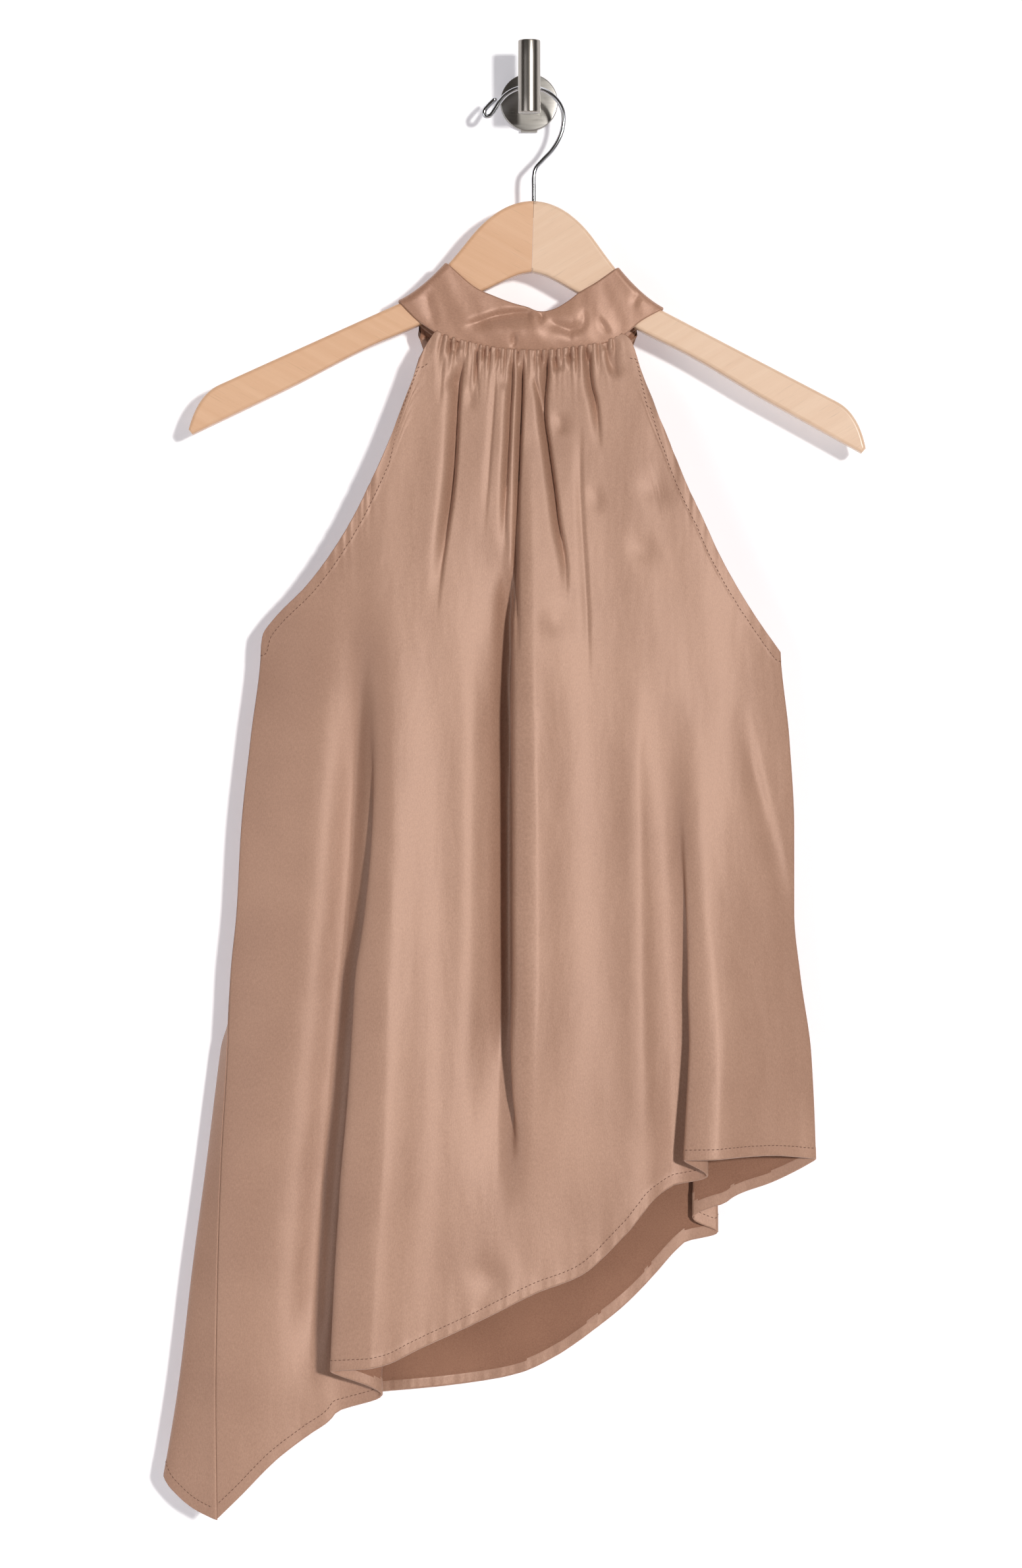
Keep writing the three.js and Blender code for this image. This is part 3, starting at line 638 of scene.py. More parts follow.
SHARES = {
    "leftSeam": 0.0,
    "leftFold": 0.256,
    "leftCorner": 0.3,
    "centre": 0.54,
    "rightCorner": 0.775,
    "rightFold": 0.8,
    "rightSeam": 1.0,
}
WIDTHS = tracks_of(
    table(
        "z leftSeam leftFold leftCorner centre rightCorner rightFold rightSeam leftEdge",
        [
            (-150, -174, -78, -61, -4, 66, 76, 167, -174),
            (-250, -174, -102, -76, -7, 80, 97, 167, -174),
            (-354, -174, -103, -89, -8, 87, 97, 163, -174),
            (-418, -181, -101, -88, -7, 88, 98, 169, -181),
            (-475, -187, -100, -88, -6, 89, 99, 172, -187),
            (-530, -190, -101, -89, -6, 91, 102, 172, -190),
            (-571, -194, -103, -91, -6, 93, 105, 176, -194),
            (-622, -196, -103, -92, -8, 96, 108, 183, -201),
            (-694, -200, -105, -94, -9, 97, 107, 186, -210),
            (-761, -202, -109, -99, -9, 97, 107, 187, -219),
            (-837, -203, -112, -103, -9, 97, 107, 187, -228),
            (-926, -202, -112, -103, -9, 97, 107, 187, -243),
        ],
    )
)
DEPTHS = tracks_of(
    table(
        "z front back leftSeam rightSeam",
        [
            (-150, -33.6, -18.2, -27, -27),
            (-170, -35, -17.4, -27, -27),
            (-230, -39, -15, -27, -27),
            (-354, -44, -13, -27, -27),
            (-560, -50, -12, -28, -28),
            (-700, -53, -11.5, -33, -30),
            (-926, -54, -11, -42, -31),
        ],
    )
)
ARM_FRONT_LEFT = [
    (-153, -61), (-166, -69), (-191, -78), (-232, -94), (-254, -104), (-275, -114.5), (-297, -128),
    (-318, -144), (-340, -166), (-350, -173), (-357, -174),
]
ARM_FRONT_RIGHT = [
    (-155, 62), (-159, 66), (-180, 73), (-211, 85), (-232, 93.5), (-254, 102.5), (-275, 112.5),
    (-297, 122.5), (-318, 134), (-340, 148), (-362, 164),
]
ARM_BACK_LEFT = [
    (-153, -73.5), (-158, -70.5), (-166, -67.5), (-191, -75.5), (-232, -91.5), (-254, -101.5), (-275, -112),
    (-297, -125), (-318, -141.5), (-340, -164.5), (-350, -172.5), (-357, -174),
]
ARM_BACK_RIGHT = [
    (-152, 72), (-157, 67.5), (-163, 65), (-180, 70.5), (-211, 82.5), (-232, 91), (-254, 100), (-275, 110),
    (-297, 120), (-318, 132), (-340, 146.5), (-362, 164),
]
FRONT_HEM = [
    (0, -921), (0.04, -907), (0.106, -882), (0.159, -867), (0.2, -857), (0.22, -848), (0.236, -841),
    (0.276, -823), (0.34, -818), (0.388, -810), (0.473, -794), (0.571, -774), (0.634, -763),
    (0.698, -736), (0.743, -712), (0.785, -700), (0.815, -688), (0.92, -686), (1, -689),
]
BACK_HEM = [
    (0, -922), (0.018, -915.5), (0.043, -904), (0.072, -895), (0.11, -893), (0.14, -886), (0.17, -869),
    (0.2, -856), (0.23, -848), (0.26, -846.5), (0.3, -844), (0.36, -841.5), (0.42, -839.5), (0.48, -836.5),
    (0.54, -831), (0.6, -819), (0.66, -800), (0.7, -785), (0.74, -766.5), (0.77, -751.5), (0.79, -744),
    (0.81, -738), (0.83, -730), (0.85, -720), (0.87, -714), (0.93, -705), (0.97, -697), (1, -690),
]
SIDE_TURN = 5  # how squarely the panels turn in at their sides
SIDE_REACH = 0.03  # share of the width over which they turn to the side seam
SEAM_EDGE = SEAM_GAP / 2 + CLOTH / 2  # from the seam to the middle of either wall
SEAM_PULL = 0.3  # how much of it is left where the seam lies in front
SEAM_ROUNDS = 12  # rounds that settle where an upright line meets the band
FOLD_TURN = 0.447  # where a fold's shift peaks, in its half widths
FOLD_SHIFT = 3.494  # brings that peak to 1
FOLD_LEAD = 1.5  # how much sooner a fold overlaps than it deepens
VALLEY_SHARE = 0.45  # the part of a fold's depth that its valley takes
SHARE_STEP = 0.01  # step for the slope of x against the share
SEWN_RUN = 7.0  # how far down the band still holds a gather flatter
SEWN_SHARE = 0.45  # how much of its depth a gather has at the band
GATHER_LEVEL = 0.33  # how far the cloth between the gathers stands out
GATHER_HALF = 0.0125  # half width of a gather, as a share
GATHER_FADE = 1.3  # how fast a gather dies out down the cloth
GATHER_SPREAD = 0.2  # how slowly it dies out to its sides
GATHER_REACH = 0.01  # share over which the columns thin out past the gathers
SPLIT_HALF = 3e-4  # half the share between the two columns beside the drop
SPLIT_CLEAR = 1e-3  # share that is kept free of other columns there
OFF_SEAM = 0.5  # how far below the band a line has to start to lie on an armhole
FAR_AWAY = 1e3  # distance of a point that is near no turned edge
LEAST_SLANT = 0.25
WRAP_PEAK = 0.072  # share at which the back's side stands out furthest
WRAP_FADE = 1.1  # how far past it that dies out, in its own shares
FLARE_RUN = 9.0  # how far down the back's top spreads along the band


@dataclass(frozen=True)
class Fold:
    """A fold, where the cloth doubles under itself, or only swells where its overlap is 0.

    share and half are its place and half width on the panel. It opens from the height start down to full,
    and closes from hold down to end. reach_left and reach_right are how far its depth spreads to its sides.
    """

    share: float
    half: float
    overlap: float
    depth: float
    start: float
    full: float
    hold: float
    end: float
    reach_left: float
    reach_right: float

    def opened(self, z: Array) -> Array:
        """How far the fold has opened.

        Args:
            z: heights.

        Returns:
            The share of its full size at each height.
        """
        opens = np.clip((self.start - z) / (self.start - self.full), 0, 1)
        closes = ease((z - self.end) / (self.hold - self.end))
        return np.minimum(opens, np.where(z > self.hold, 1.0, closes))


FRONT_FOLDS = [
    Fold(0.256, 0.046, 32, 32, -318, -700, -990, -999, 0.26, 0.15),
    Fold(0.54, 0.03, 8, 25, -225, -400, -590, -740, 0.09, 0.1),
    Fold(0.8, 0.034, 14, 27, -385, -680, -990, -999, 0.09, 0.1),
    Fold(0.43, 0.075, 0, 6, -300, -520, -990, -999, 0.07, 0.08),
    Fold(0.68, 0.07, 0, 7, -300, -520, -990, -999, 0.07, 0.08),
]
BACK_FOLDS = [
    Fold(0.24, 0.04, 6, -10, -330, -760, -990, -999, 0.09, 0.1),
    Fold(0.42, 0.075, 0, -7, -250, -560, -990, -999, 0.08, 0.09),
    Fold(0.62, 0.075, 0, 7, -240, -600, -990, -999, 0.09, 0.08),
    Fold(0.82, 0.034, 15, 8, -560, -700, -990, -999, 0.1, 0.08),
]
# x on the band's seam, depth, length down the cloth
FRONT_GATHERS = [
    (-57, 2.4, 26), (-51, 4.4, 16), (-46.5, 4.0, 18), (-33.5, 3.6, 38), (-29, 4.6, 15), (-25, 4.0, 20),
    (-20, 4.4, 15), (-15, 3.2, 24), (-7.5, 4.2, 14), (4, 3.2, 22), (8, 4.6, 14), (17, 4.6, 18),
    (21.5, 4.0, 15), (26, 4.6, 16), (31, 3.4, 24), (36.5, 4.4, 17), (45, 3.2, 22), (49.5, 4.6, 16),
    (55, 3.6, 24),
]
BACK_GATHERS = [
    (-69, 1.2, 40), (-62, 1.6, 60), (-55, 1.5, 35), (-48, 2.8, 130), (-41, 1.6, 50), (-34, 1.8, 75),
    (-27, 3.0, 150), (-20, 1.5, 40), (-13, 1.8, 70), (13, 1.7, 60), (20, 2.9, 140), (27, 1.6, 45),
    (34, 1.9, 80), (41, 2.8, 120), (48, 1.5, 45), (55, 1.6, 60), (62, 1.3, 35),
]


@dataclass(frozen=True)
class Crease:
    """A soft trough, or a ridge where its depth is negative, along a route of (x, z).

    right_half narrows its right side, so that the cloth there laps over the trough.
    """

    depth: float
    half: float
    route: tuple[tuple[float, float], ...]
    ends: tuple[float, float] = (0.25, 0.35)
    right_half: float | None = None

    def push(self, x: Array, z: Array) -> Array:
        """How far it pushes the cloth in at each point.

        Args:
            x: the points' x.
            z: the points' z.

        Returns:
            The push at each point.
        """
        line = catmull(self.route, 4) if len(self.route) > 2 else np.array(self.route, float)
        steps = np.diff(line, axis=0)
        lengths = np.linalg.norm(steps, axis=1)
        run = np.concatenate([[0.0], np.cumsum(lengths)])
        nearest = np.full(x.shape, 1e9)
        along = np.zeros(x.shape)
        right = np.zeros(x.shape, bool)
        for (px, pz), (dx, dz), length, start in zip(line, steps, lengths, run):
            t = np.clip(((x - px) * dx + (z - pz) * dz) / (length * length), 0, 1)
            off_x, off_z = x - px - t * dx, z - pz - t * dz
            off = np.hypot(off_x, off_z)
            closer = off < nearest
            nearest = np.where(closer, off, nearest)
            along = np.where(closer, (start + t * length) / run[-1], along)
            right = np.where(closer, off_x > 0, right)
        strength = ease(along / self.ends[0]) * ease((1 - along) / self.ends[1])
        half = np.where(right, self.right_half or self.half, self.half)
        return self.depth * strength * fades(nearest / half)


FRONT_PLEATS = [
    Crease(
        6.5, 5.5, ((-41.7, -166), (-44.3, -186.4), (-45.6, -204.8), (-46.4, -220.6), (-47.7, -242),
        (-49.9, -263.4), (-52.4, -279.7), (-56.3, -306.2), (-60, -340)), (0.12, 0.5), 0.8,
    ),
    Crease(
        4.6, 3.2, ((-10.5, -164), (-10.5, -183.4), (-11.8, -204.8), (-12.7, -226.2), (-13.9, -247.6),
        (-15.2, -279.7), (-13.5, -304)), (0.12, 0.5), 0.8,
    ),
    Crease(
        6, 3, ((-3.7, -164), (-4.1, -194.1), (-5, -215.5), (-5.8, -236.9), (-7.1, -279.7),
        (-7.5, -313.9), (-6.7, -380)), (0.1, 0.35), 0.8,
    ),
    Crease(
        6.5, 3.6, ((11.6, -164), (12.4, -175.7), (10.9, -197.1), (10.9, -211.2), (13, -226.2),
        (15.1, -242), (17.3, -258.3), (19.8, -279.7), (22.8, -295.5), (24.1, -309.6), (23.7, -330)),
        (0.08, 0.4), 0.8,
    ),
    Crease(
        5, 3.6, ((39.5, -162), (39.9, -177.9), (41.2, -188.6), (43.4, -197.1), (44.6, -207),
        (46.4, -232)), (0.15, 0.6), 0.8,
    ),
    Crease(2, 2, ((-34, -160), (-33.6, -178), (-32.6, -200)), (0.2, 0.6), 0.7),
    Crease(2.2, 2.4, ((3, -180), (6.4, -194), (9.8, -212)), (0.3, 0.3), 0.8),
    Crease(0.9, 3, ((-21, -176), (-24, -220), (-29.5, -292)), (0.2, 0.5), 0.8),
    Crease(1, 3.5, ((33.5, -205), (33.5, -258), (37.4, -327.5), (39, -392)), (0.3, 0.4), 1.2),
    Crease(0.8, 2.4, ((-55.5, -166), (-58, -206)), (0.2, 0.6), 0.8),
]
FRONT_DIMPLES = [
    Crease(2.2, 2.4, ((-51, -159), (-50, -168)), (0.3, 0.3)),
    Crease(2, 1.8, ((-46.4, -158), (-45, -165)), (0.3, 0.3)),
    Crease(2.4, 2.6, ((-30.6, -163), (-28, -172)), (0.3, 0.4)),
    Crease(1.8, 1.8, ((-20.2, -164), (-19.4, -171)), (0.3, 0.3)),
    Crease(2, 2.2, ((6.2, -167), (8.4, -176)), (0.3, 0.4)),
    Crease(2.2, 2.6, ((16.4, -169), (19, -180)), (0.3, 0.4)),
    Crease(2.2, 2.8, ((24.4, -167), (28.6, -173)), (0.3, 0.4)),
    Crease(2, 2, ((36.4, -163), (37.4, -174)), (0.3, 0.4)),
    Crease(2, 1.8, ((47.4, -158), (50, -166)), (0.3, 0.3)),
    Crease(3, 3.2, ((51.2, -163), (53.4, -174), (58.4, -184)), (0.3, 0.4)),
    Crease(1.3, 4.2, ((-50.6, -181), (-49, -192)), (0.4, 0.4)),
    Crease(0.9, 3, ((-38.6, -186), (-37.2, -206)), (0.4, 0.4)),
    Crease(1.2, 3.4, ((-17.4, -176), (-16.4, -192)), (0.4, 0.4)),
    Crease(1.2, 4.6, ((19, -204), (21.6, -222)), (0.4, 0.4)),
    Crease(1, 5, ((41.4, -252), (44.6, -272)), (0.4, 0.4)),
    Crease(1.5, 8, ((70, -264), (80, -256), (93, -248)), (0.5, 0.5)),
    Crease(1.5, 8, ((64, -302), (74, -294), (84, -288)), (0.5, 0.5)),
]
FRONT_CREASES = [
    *FRONT_PLEATS,
    *FRONT_DIMPLES,
    Crease(8, 8, ((-11, -300), (-11.6, -340), (-12, -480), (-12, -580), (-13, -640)), (0.1, 0.3), 1.2),
    Crease(
        8, 15, ((-108, -340), (-111, -400), (-116, -500), (-123, -579), (-130, -660), (-136, -729),
        (-140, -800), (-143, -850)), (0.25, 0.15), 6,
    ),
    Crease(3.4, 8, ((139.1, -380), (144, -425), (162.7, -496.9), (176.2, -562.5)), (0.4, 0.4), 2.6),
    Crease(-1.8, 13, ((-35.3, -322.4), (-37.9, -450.7), (-39.2, -579), (-45, -700)), (0.3, 0.4), 9),
    Crease(-2.2, 12, ((67.7, -350), (69.9, -480), (72.3, -600), (75.4, -720)), (0.3, 0.3), 7),
    Crease(1.8, 10, ((-40, -748), (-26, -764), (-16, -778)), (0.5, 0.4)),
    Crease(0.9, 9, ((-10, -725), (-6, -750), (-4, -776)), (0.5, 0.4)),
    Crease(1.2, 8, ((14, -330), (18, -352)), (0.4, 0.4)),
]
BACK_CREASES = [
    Crease(4.6, 4.2, ((-44, -160), (-50, -215), (-58, -290), (-62, -340)), (0.1, 0.5), 0.9),
    Crease(3.8, 3.4, ((-25, -166), (-28, -230), (-31, -300)), (0.1, 0.5), 0.9),
    Crease(4.2, 3.6, ((21, -166), (25, -230), (30, -310)), (0.1, 0.5), 0.9),
    Crease(4.2, 3.6, ((42, -160), (48, -220), (57, -300)), (0.1, 0.5), 0.9),
    Crease(2, 8, ((-70, -260), (-78, -380), (-84, -500))),
    Crease(-2.5, 10, ((-45, -330), (-48, -450), (-50, -640))),
    Crease(-2, 9, ((60, -330), (66, -480), (72, -650))),
    Crease(2.5, 6, ((140, -400), (152, -470), (165, -540))),
]


def turned_forward(z: Array) -> Array:
    """Share of the lower left side that turns round to the front."""
    return ease((-540 - z) / 80)


def upright(share: Array, z: Array) -> Array:
    """Where upright lines lie before any fold shifts them.

    Args:
        share: the lines' shares of the panel's width.
        z: heights.

    Returns:
        x of each line at each height.
    """
    shape = np.broadcast(share, z).shape
    s = np.broadcast_to(share, shape).ravel()
    h = np.broadcast_to(z, shape).ravel()
    values = np.stack([WIDTHS[name](h) for name in SHARES])
    return hermite(np.array(list(SHARES.values())), values, s).reshape(shape)


def sides(share: Array) -> tuple[Array, Array]:
    """How near each upright line is to the left and the right side seam, from 0 to 1."""
    return np.maximum(0, 1 - share / SIDE_REACH), np.maximum(0, 1 - (1 - share) / SIDE_REACH)


def wrap_front(p: Array, share: Array) -> Array:
    """Stops the front's edges short of the side seams.

    Args:
        p: points of the front.
        share: their upright lines.

    Returns:
        The points, moved.
    """
    left, right = sides(share)
    forward = turned_forward(p[..., 2])
    p[..., 1] -= SEAM_EDGE * (left * (1 - forward) + right)
    p[..., 0] += SEAM_PULL * SEAM_EDGE * left * forward
    return p


def wrap_back(p: Array, share: Array) -> Array:
    """Stops the back's edges short of the side seams, and swings its lower left side out to the front.

    Args:
        p: points of the back.
        share: their upright lines.

    Returns:
        The points, moved.
    """
    left, right = sides(share)
    z = p[..., 2]
    forward = turned_forward(z)
    p[..., 1] += SEAM_EDGE * (left * (1 - forward) + right)
    p[..., 0] -= SEAM_PULL * SEAM_EDGE * left * forward
    q = share / WRAP_PEAK
    past = fades(np.maximum(0, q - 1) / WRAP_FADE)
    swing = np.where(q < 1, np.sin(np.pi / 2 * np.minimum(q, 1)), past)
    out = WIDTHS["leftSeam"](z) - WIDTHS["leftEdge"](z)
    drawn = upright(np.minimum(share, WRAP_PEAK), z) - WIDTHS["leftSeam"](z)
    p[..., 0] -= swing * out + forward * past * drawn
    return p


@dataclass(frozen=True)
class Drop:
    """The drop-shaped opening under the band at the centre back."""

    x: float
    width: float = 12.0
    length: float = 105.0
    top: float = -160.0
    slit: float = 1.6
    below: float = 10.0
    rounding: float = 2.0
    centring: float = 25.0
    parting: float = 10.0

    @property
    def end(self) -> float:
        """Height of the opening's lowest point."""
        return self.top - self.length

    def half(self, z: Array) -> Array:
        """Half the opening's width.

        Args:
            z: heights.

        Returns:
            The half width at each height.
        """
        corner = (self.width / 2 + self.rounding, self.end)
        middle = (self.width / 2, self.top - self.length / 2)
        curve = bezier([(self.slit, self.top - self.below), middle, corner, (0.0, self.end)], 80)
        return np.interp(-z, -curve[:, 1], curve[:, 0], right=0.0)

    def part(self, x: Array, line: Array, z: Array) -> Array:
        """How far the cloth moves aside to leave the opening free.

        Args:
            x: the points' x.
            line: x of the upright line that the opening splits.
            z: the points' z.

        Returns:
            The move along x of each point.
        """
        off = x - line
        centred = (self.x - line) * fades(off / self.centring)
        return centred + np.sign(off) * self.half(z) * fades(off / self.parting)


@dataclass
class PanelForm:
    """Where a panel's cloth lies: its upright lines, folds, gathers and creases.

    left and right are the armholes' edges, as (z, x), and seam is the band's lower edge. middle names the
    depth that the panel's middle has, side is 1 in front and -1 at the back, and tuck is how far the cloth
    reaches up behind the band's edge.
    """

    folds: Sequence[Fold]
    gathers: Sequence[tuple[float, float, float]]
    creases: Sequence[Crease]
    hem: Track
    left: Sequence[tuple[float, float]]
    right: Sequence[tuple[float, float]]
    seam: Track
    middle: str
    side: int
    wrap: Callable[[Array, Array], Array]
    seed: int
    flare: float = 0.0
    drop: Drop | None = None
    tuck: float = 0.9
    shares: list[float] = field(default_factory=list)

    def __post_init__(self) -> None:
        """Finds each gather's upright line."""
        self.arm_left = Track(self.left)
        self.arm_right = Track(self.right)
        for x, _, _ in self.gathers:
            z = self.seam(x)
            self.shares.append(self.share_at(x, z))

    def share_at(self, x: float, z: Array | float) -> float:
        """The share of the upright line that stands at x at height z."""
        return float(meet(lambda s: self.across(s, z) - x, np.zeros(1), np.ones(1))[0])

    def across(self, share: Array, z: Array) -> Array:
        """x of upright lines, spread along the band by the panel's flare, before any fold shifts them."""
        below = np.maximum(0, self.left[0][0] - z)
        return upright(share, z) * (1 + self.flare * fades(below / FLARE_RUN))

    def top(self, share: Array) -> Array:
        """Where the upright lines start, on the band's seam or an armhole's edge.

        Args:
            share: the lines' shares of the panel's width.

        Returns:
            The height of each line's start.
        """

        def level(z: float) -> Array:
            """The same height for every line."""
            return np.full(share.shape, float(z))

        (zl, xl), (zr, xr) = self.left[0], self.right[0]
        z = level(zl)
        for _ in range(SEAM_ROUNDS):
            z = self.seam(self.across(share, z)) + self.tuck
        on_left = self.across(share, level(zl)) < xl
        on_right = self.across(share, level(zr)) > xr
        low_l, low_r = level(self.left[-1][0]), level(self.right[-1][0])
        left = meet(lambda h: self.arm_left(h) - self.across(share, h), low_l, level(zl))
        right = meet(lambda h: self.across(share, h) - self.arm_right(h), low_r, level(zr))
        return np.where(on_left, left, np.where(on_right, right, z))

    def points(self, share: Array, down: Array) -> Array:
        """Points of the middle surface.

        Args:
            share: the upright lines, a row.
            down: how far down each line, a column.

        Returns:
            A grid of points.
        """
        shape = np.broadcast(share, down).shape
        s = np.broadcast_to(share, shape).copy()
        high = self.top(s[0])[None, :]
        z = lerp(high, self.hem(s), down)
        below = high - z
        x = self.across(s, z)
        seam = lerp(DEPTHS["leftSeam"](z), DEPTHS["rightSeam"](z), ease(s))
        turn = 1 - np.abs(2 * s - 1) ** SIDE_TURN
        y = lerp(seam, DEPTHS[self.middle](z), turn)
        spread = (self.across(s + SHARE_STEP, z) - self.across(s - SHARE_STEP, z)) / (2 * SHARE_STEP)
        for fold in self.folds:
            aside, forward = self.folded(fold, s, z, spread)
            x = x + aside
            y = y + forward * turn
        for (_, depth, length), home in zip(self.gathers, self.shares):
            y = y + self.side * depth * self.gathered(s - home, below, length)
        push = np.zeros(shape)
        for crease in self.creases:
            push += crease.push(x, z)
        y = y + self.side * turn * (push + self.unevenness(s, x, z, below))
        if self.drop:
            line = self.across(np.full(shape, self.share_at(self.drop.x, self.drop.top)), z)
            x = x + self.drop.part(x, line, z)
        return self.wrap(np.stack([x, y, z], axis=-1), s)

    @staticmethod
    def folded(fold: Fold, share: Array, z: Array, spread: Array) -> tuple[Array, Array]:
        """How far a fold moves the cloth.

        Args:
            fold: the fold.
            share: the points' upright lines.
            z: the points' heights.
            spread: width of the panel to a share, at each point.

        Returns:
            The move along x, and the one along y before the sides hold it back.
        """
        opened = fold.opened(z)
        u = (share - fold.share) / fold.half
        shift = np.where(np.abs(u) >= 1, 0, -FOLD_SHIFT * u * (1 - u * u) ** 2)
        reach = (fold.overlap + 2 * FOLD_TURN * fold.half * spread) / 2 if fold.overlap > 0 else 0.0
        before = fades(np.maximum(0, -u * fold.half) / fold.reach_left)
        after = fades(np.maximum(0, u * fold.half) / fold.reach_right)
        crossed = ease((u + 1) / 2)
        rise = VALLEY_SHARE * before * (1 - crossed) - (1 - VALLEY_SHARE) * after * crossed
        return reach * np.minimum(1, FOLD_LEAD * opened) * opened * shift, fold.depth * opened * rise

    @staticmethod
    def gathered(off: Array, below: Array, length: float) -> Array:
        """Form of a gather, which the band holds flatter and which dies out down the cloth.

        Args:
            off: the points' distance from the gather's upright line, as a share.
            below: the points' distance below the band.
            length: how far down the gather reaches.

        Returns:
            How much of its depth the gather has at each point.
        """
        u = np.abs(off) / GATHER_HALF
        sewn = SEWN_SHARE + (1 - SEWN_SHARE) * ease(below / SEWN_RUN)
        left = (1 - np.clip(below / length, 0, 1)) ** GATHER_FADE
        pinch = np.where(u < 1, (1 - np.minimum(u, 1)) ** 2 - GATHER_LEVEL, 0)
        return sewn * left * pinch * fades(u * GATHER_SPREAD)

    def unevenness(self, share: Array, x: Array, z: Array, below: Array) -> Array:
        """Small waves of the cloth: puckers under the band, long soft waves, and a wavy hem.

        Args:
            share: the points' upright lines.
            x: the points' x.
            z: the points' heights.
            below: the points' distance below the band.

        Returns:
            How far each point moves in.
        """
        pucker = ripples(share, (0.011, 0.0163, 0.0217), self.seed) * 1.3 * np.exp(-below / 9.0)
        slow = ripples(z, (260.0, 410.0), self.seed + 1) * 10.0
        long = ripples(x + slow, (43.0, 71.0, 113.0), self.seed + 2) * 0.8 * ease(below / 90.0)
        above = z - self.hem(share)
        hem = ripples(x, (13.0, 19.0, 29.0), self.seed + 4) * 0.5 * np.exp(-above / 14.0)
        hem = hem + ripples(x, (5.3, 8.1, 11.7), self.seed + 5) * 0.3 * np.exp(-above / 6.0)
        return pucker + long + hem


def spaced(density: Callable[[Array], Array], count: int) -> Array:
    """Places from 0 to 1, as close together as a density says.

    Args:
        density: how close together they lie, by place.
        count: how many.

    Returns:
        The places.
    """
    fine = np.linspace(0, 1, 4001)
    weight = density(fine)
    total = np.concatenate([[0.0], np.cumsum((weight[1:] + weight[:-1]) / 2)])
    return np.interp(np.linspace(0, 1, count), total / total[-1], fine)


class Kind(Enum):
    """Finish numbers of a cloth piece's faces."""

    RIGHT_SIDE = 0
    WRONG_SIDE = 1


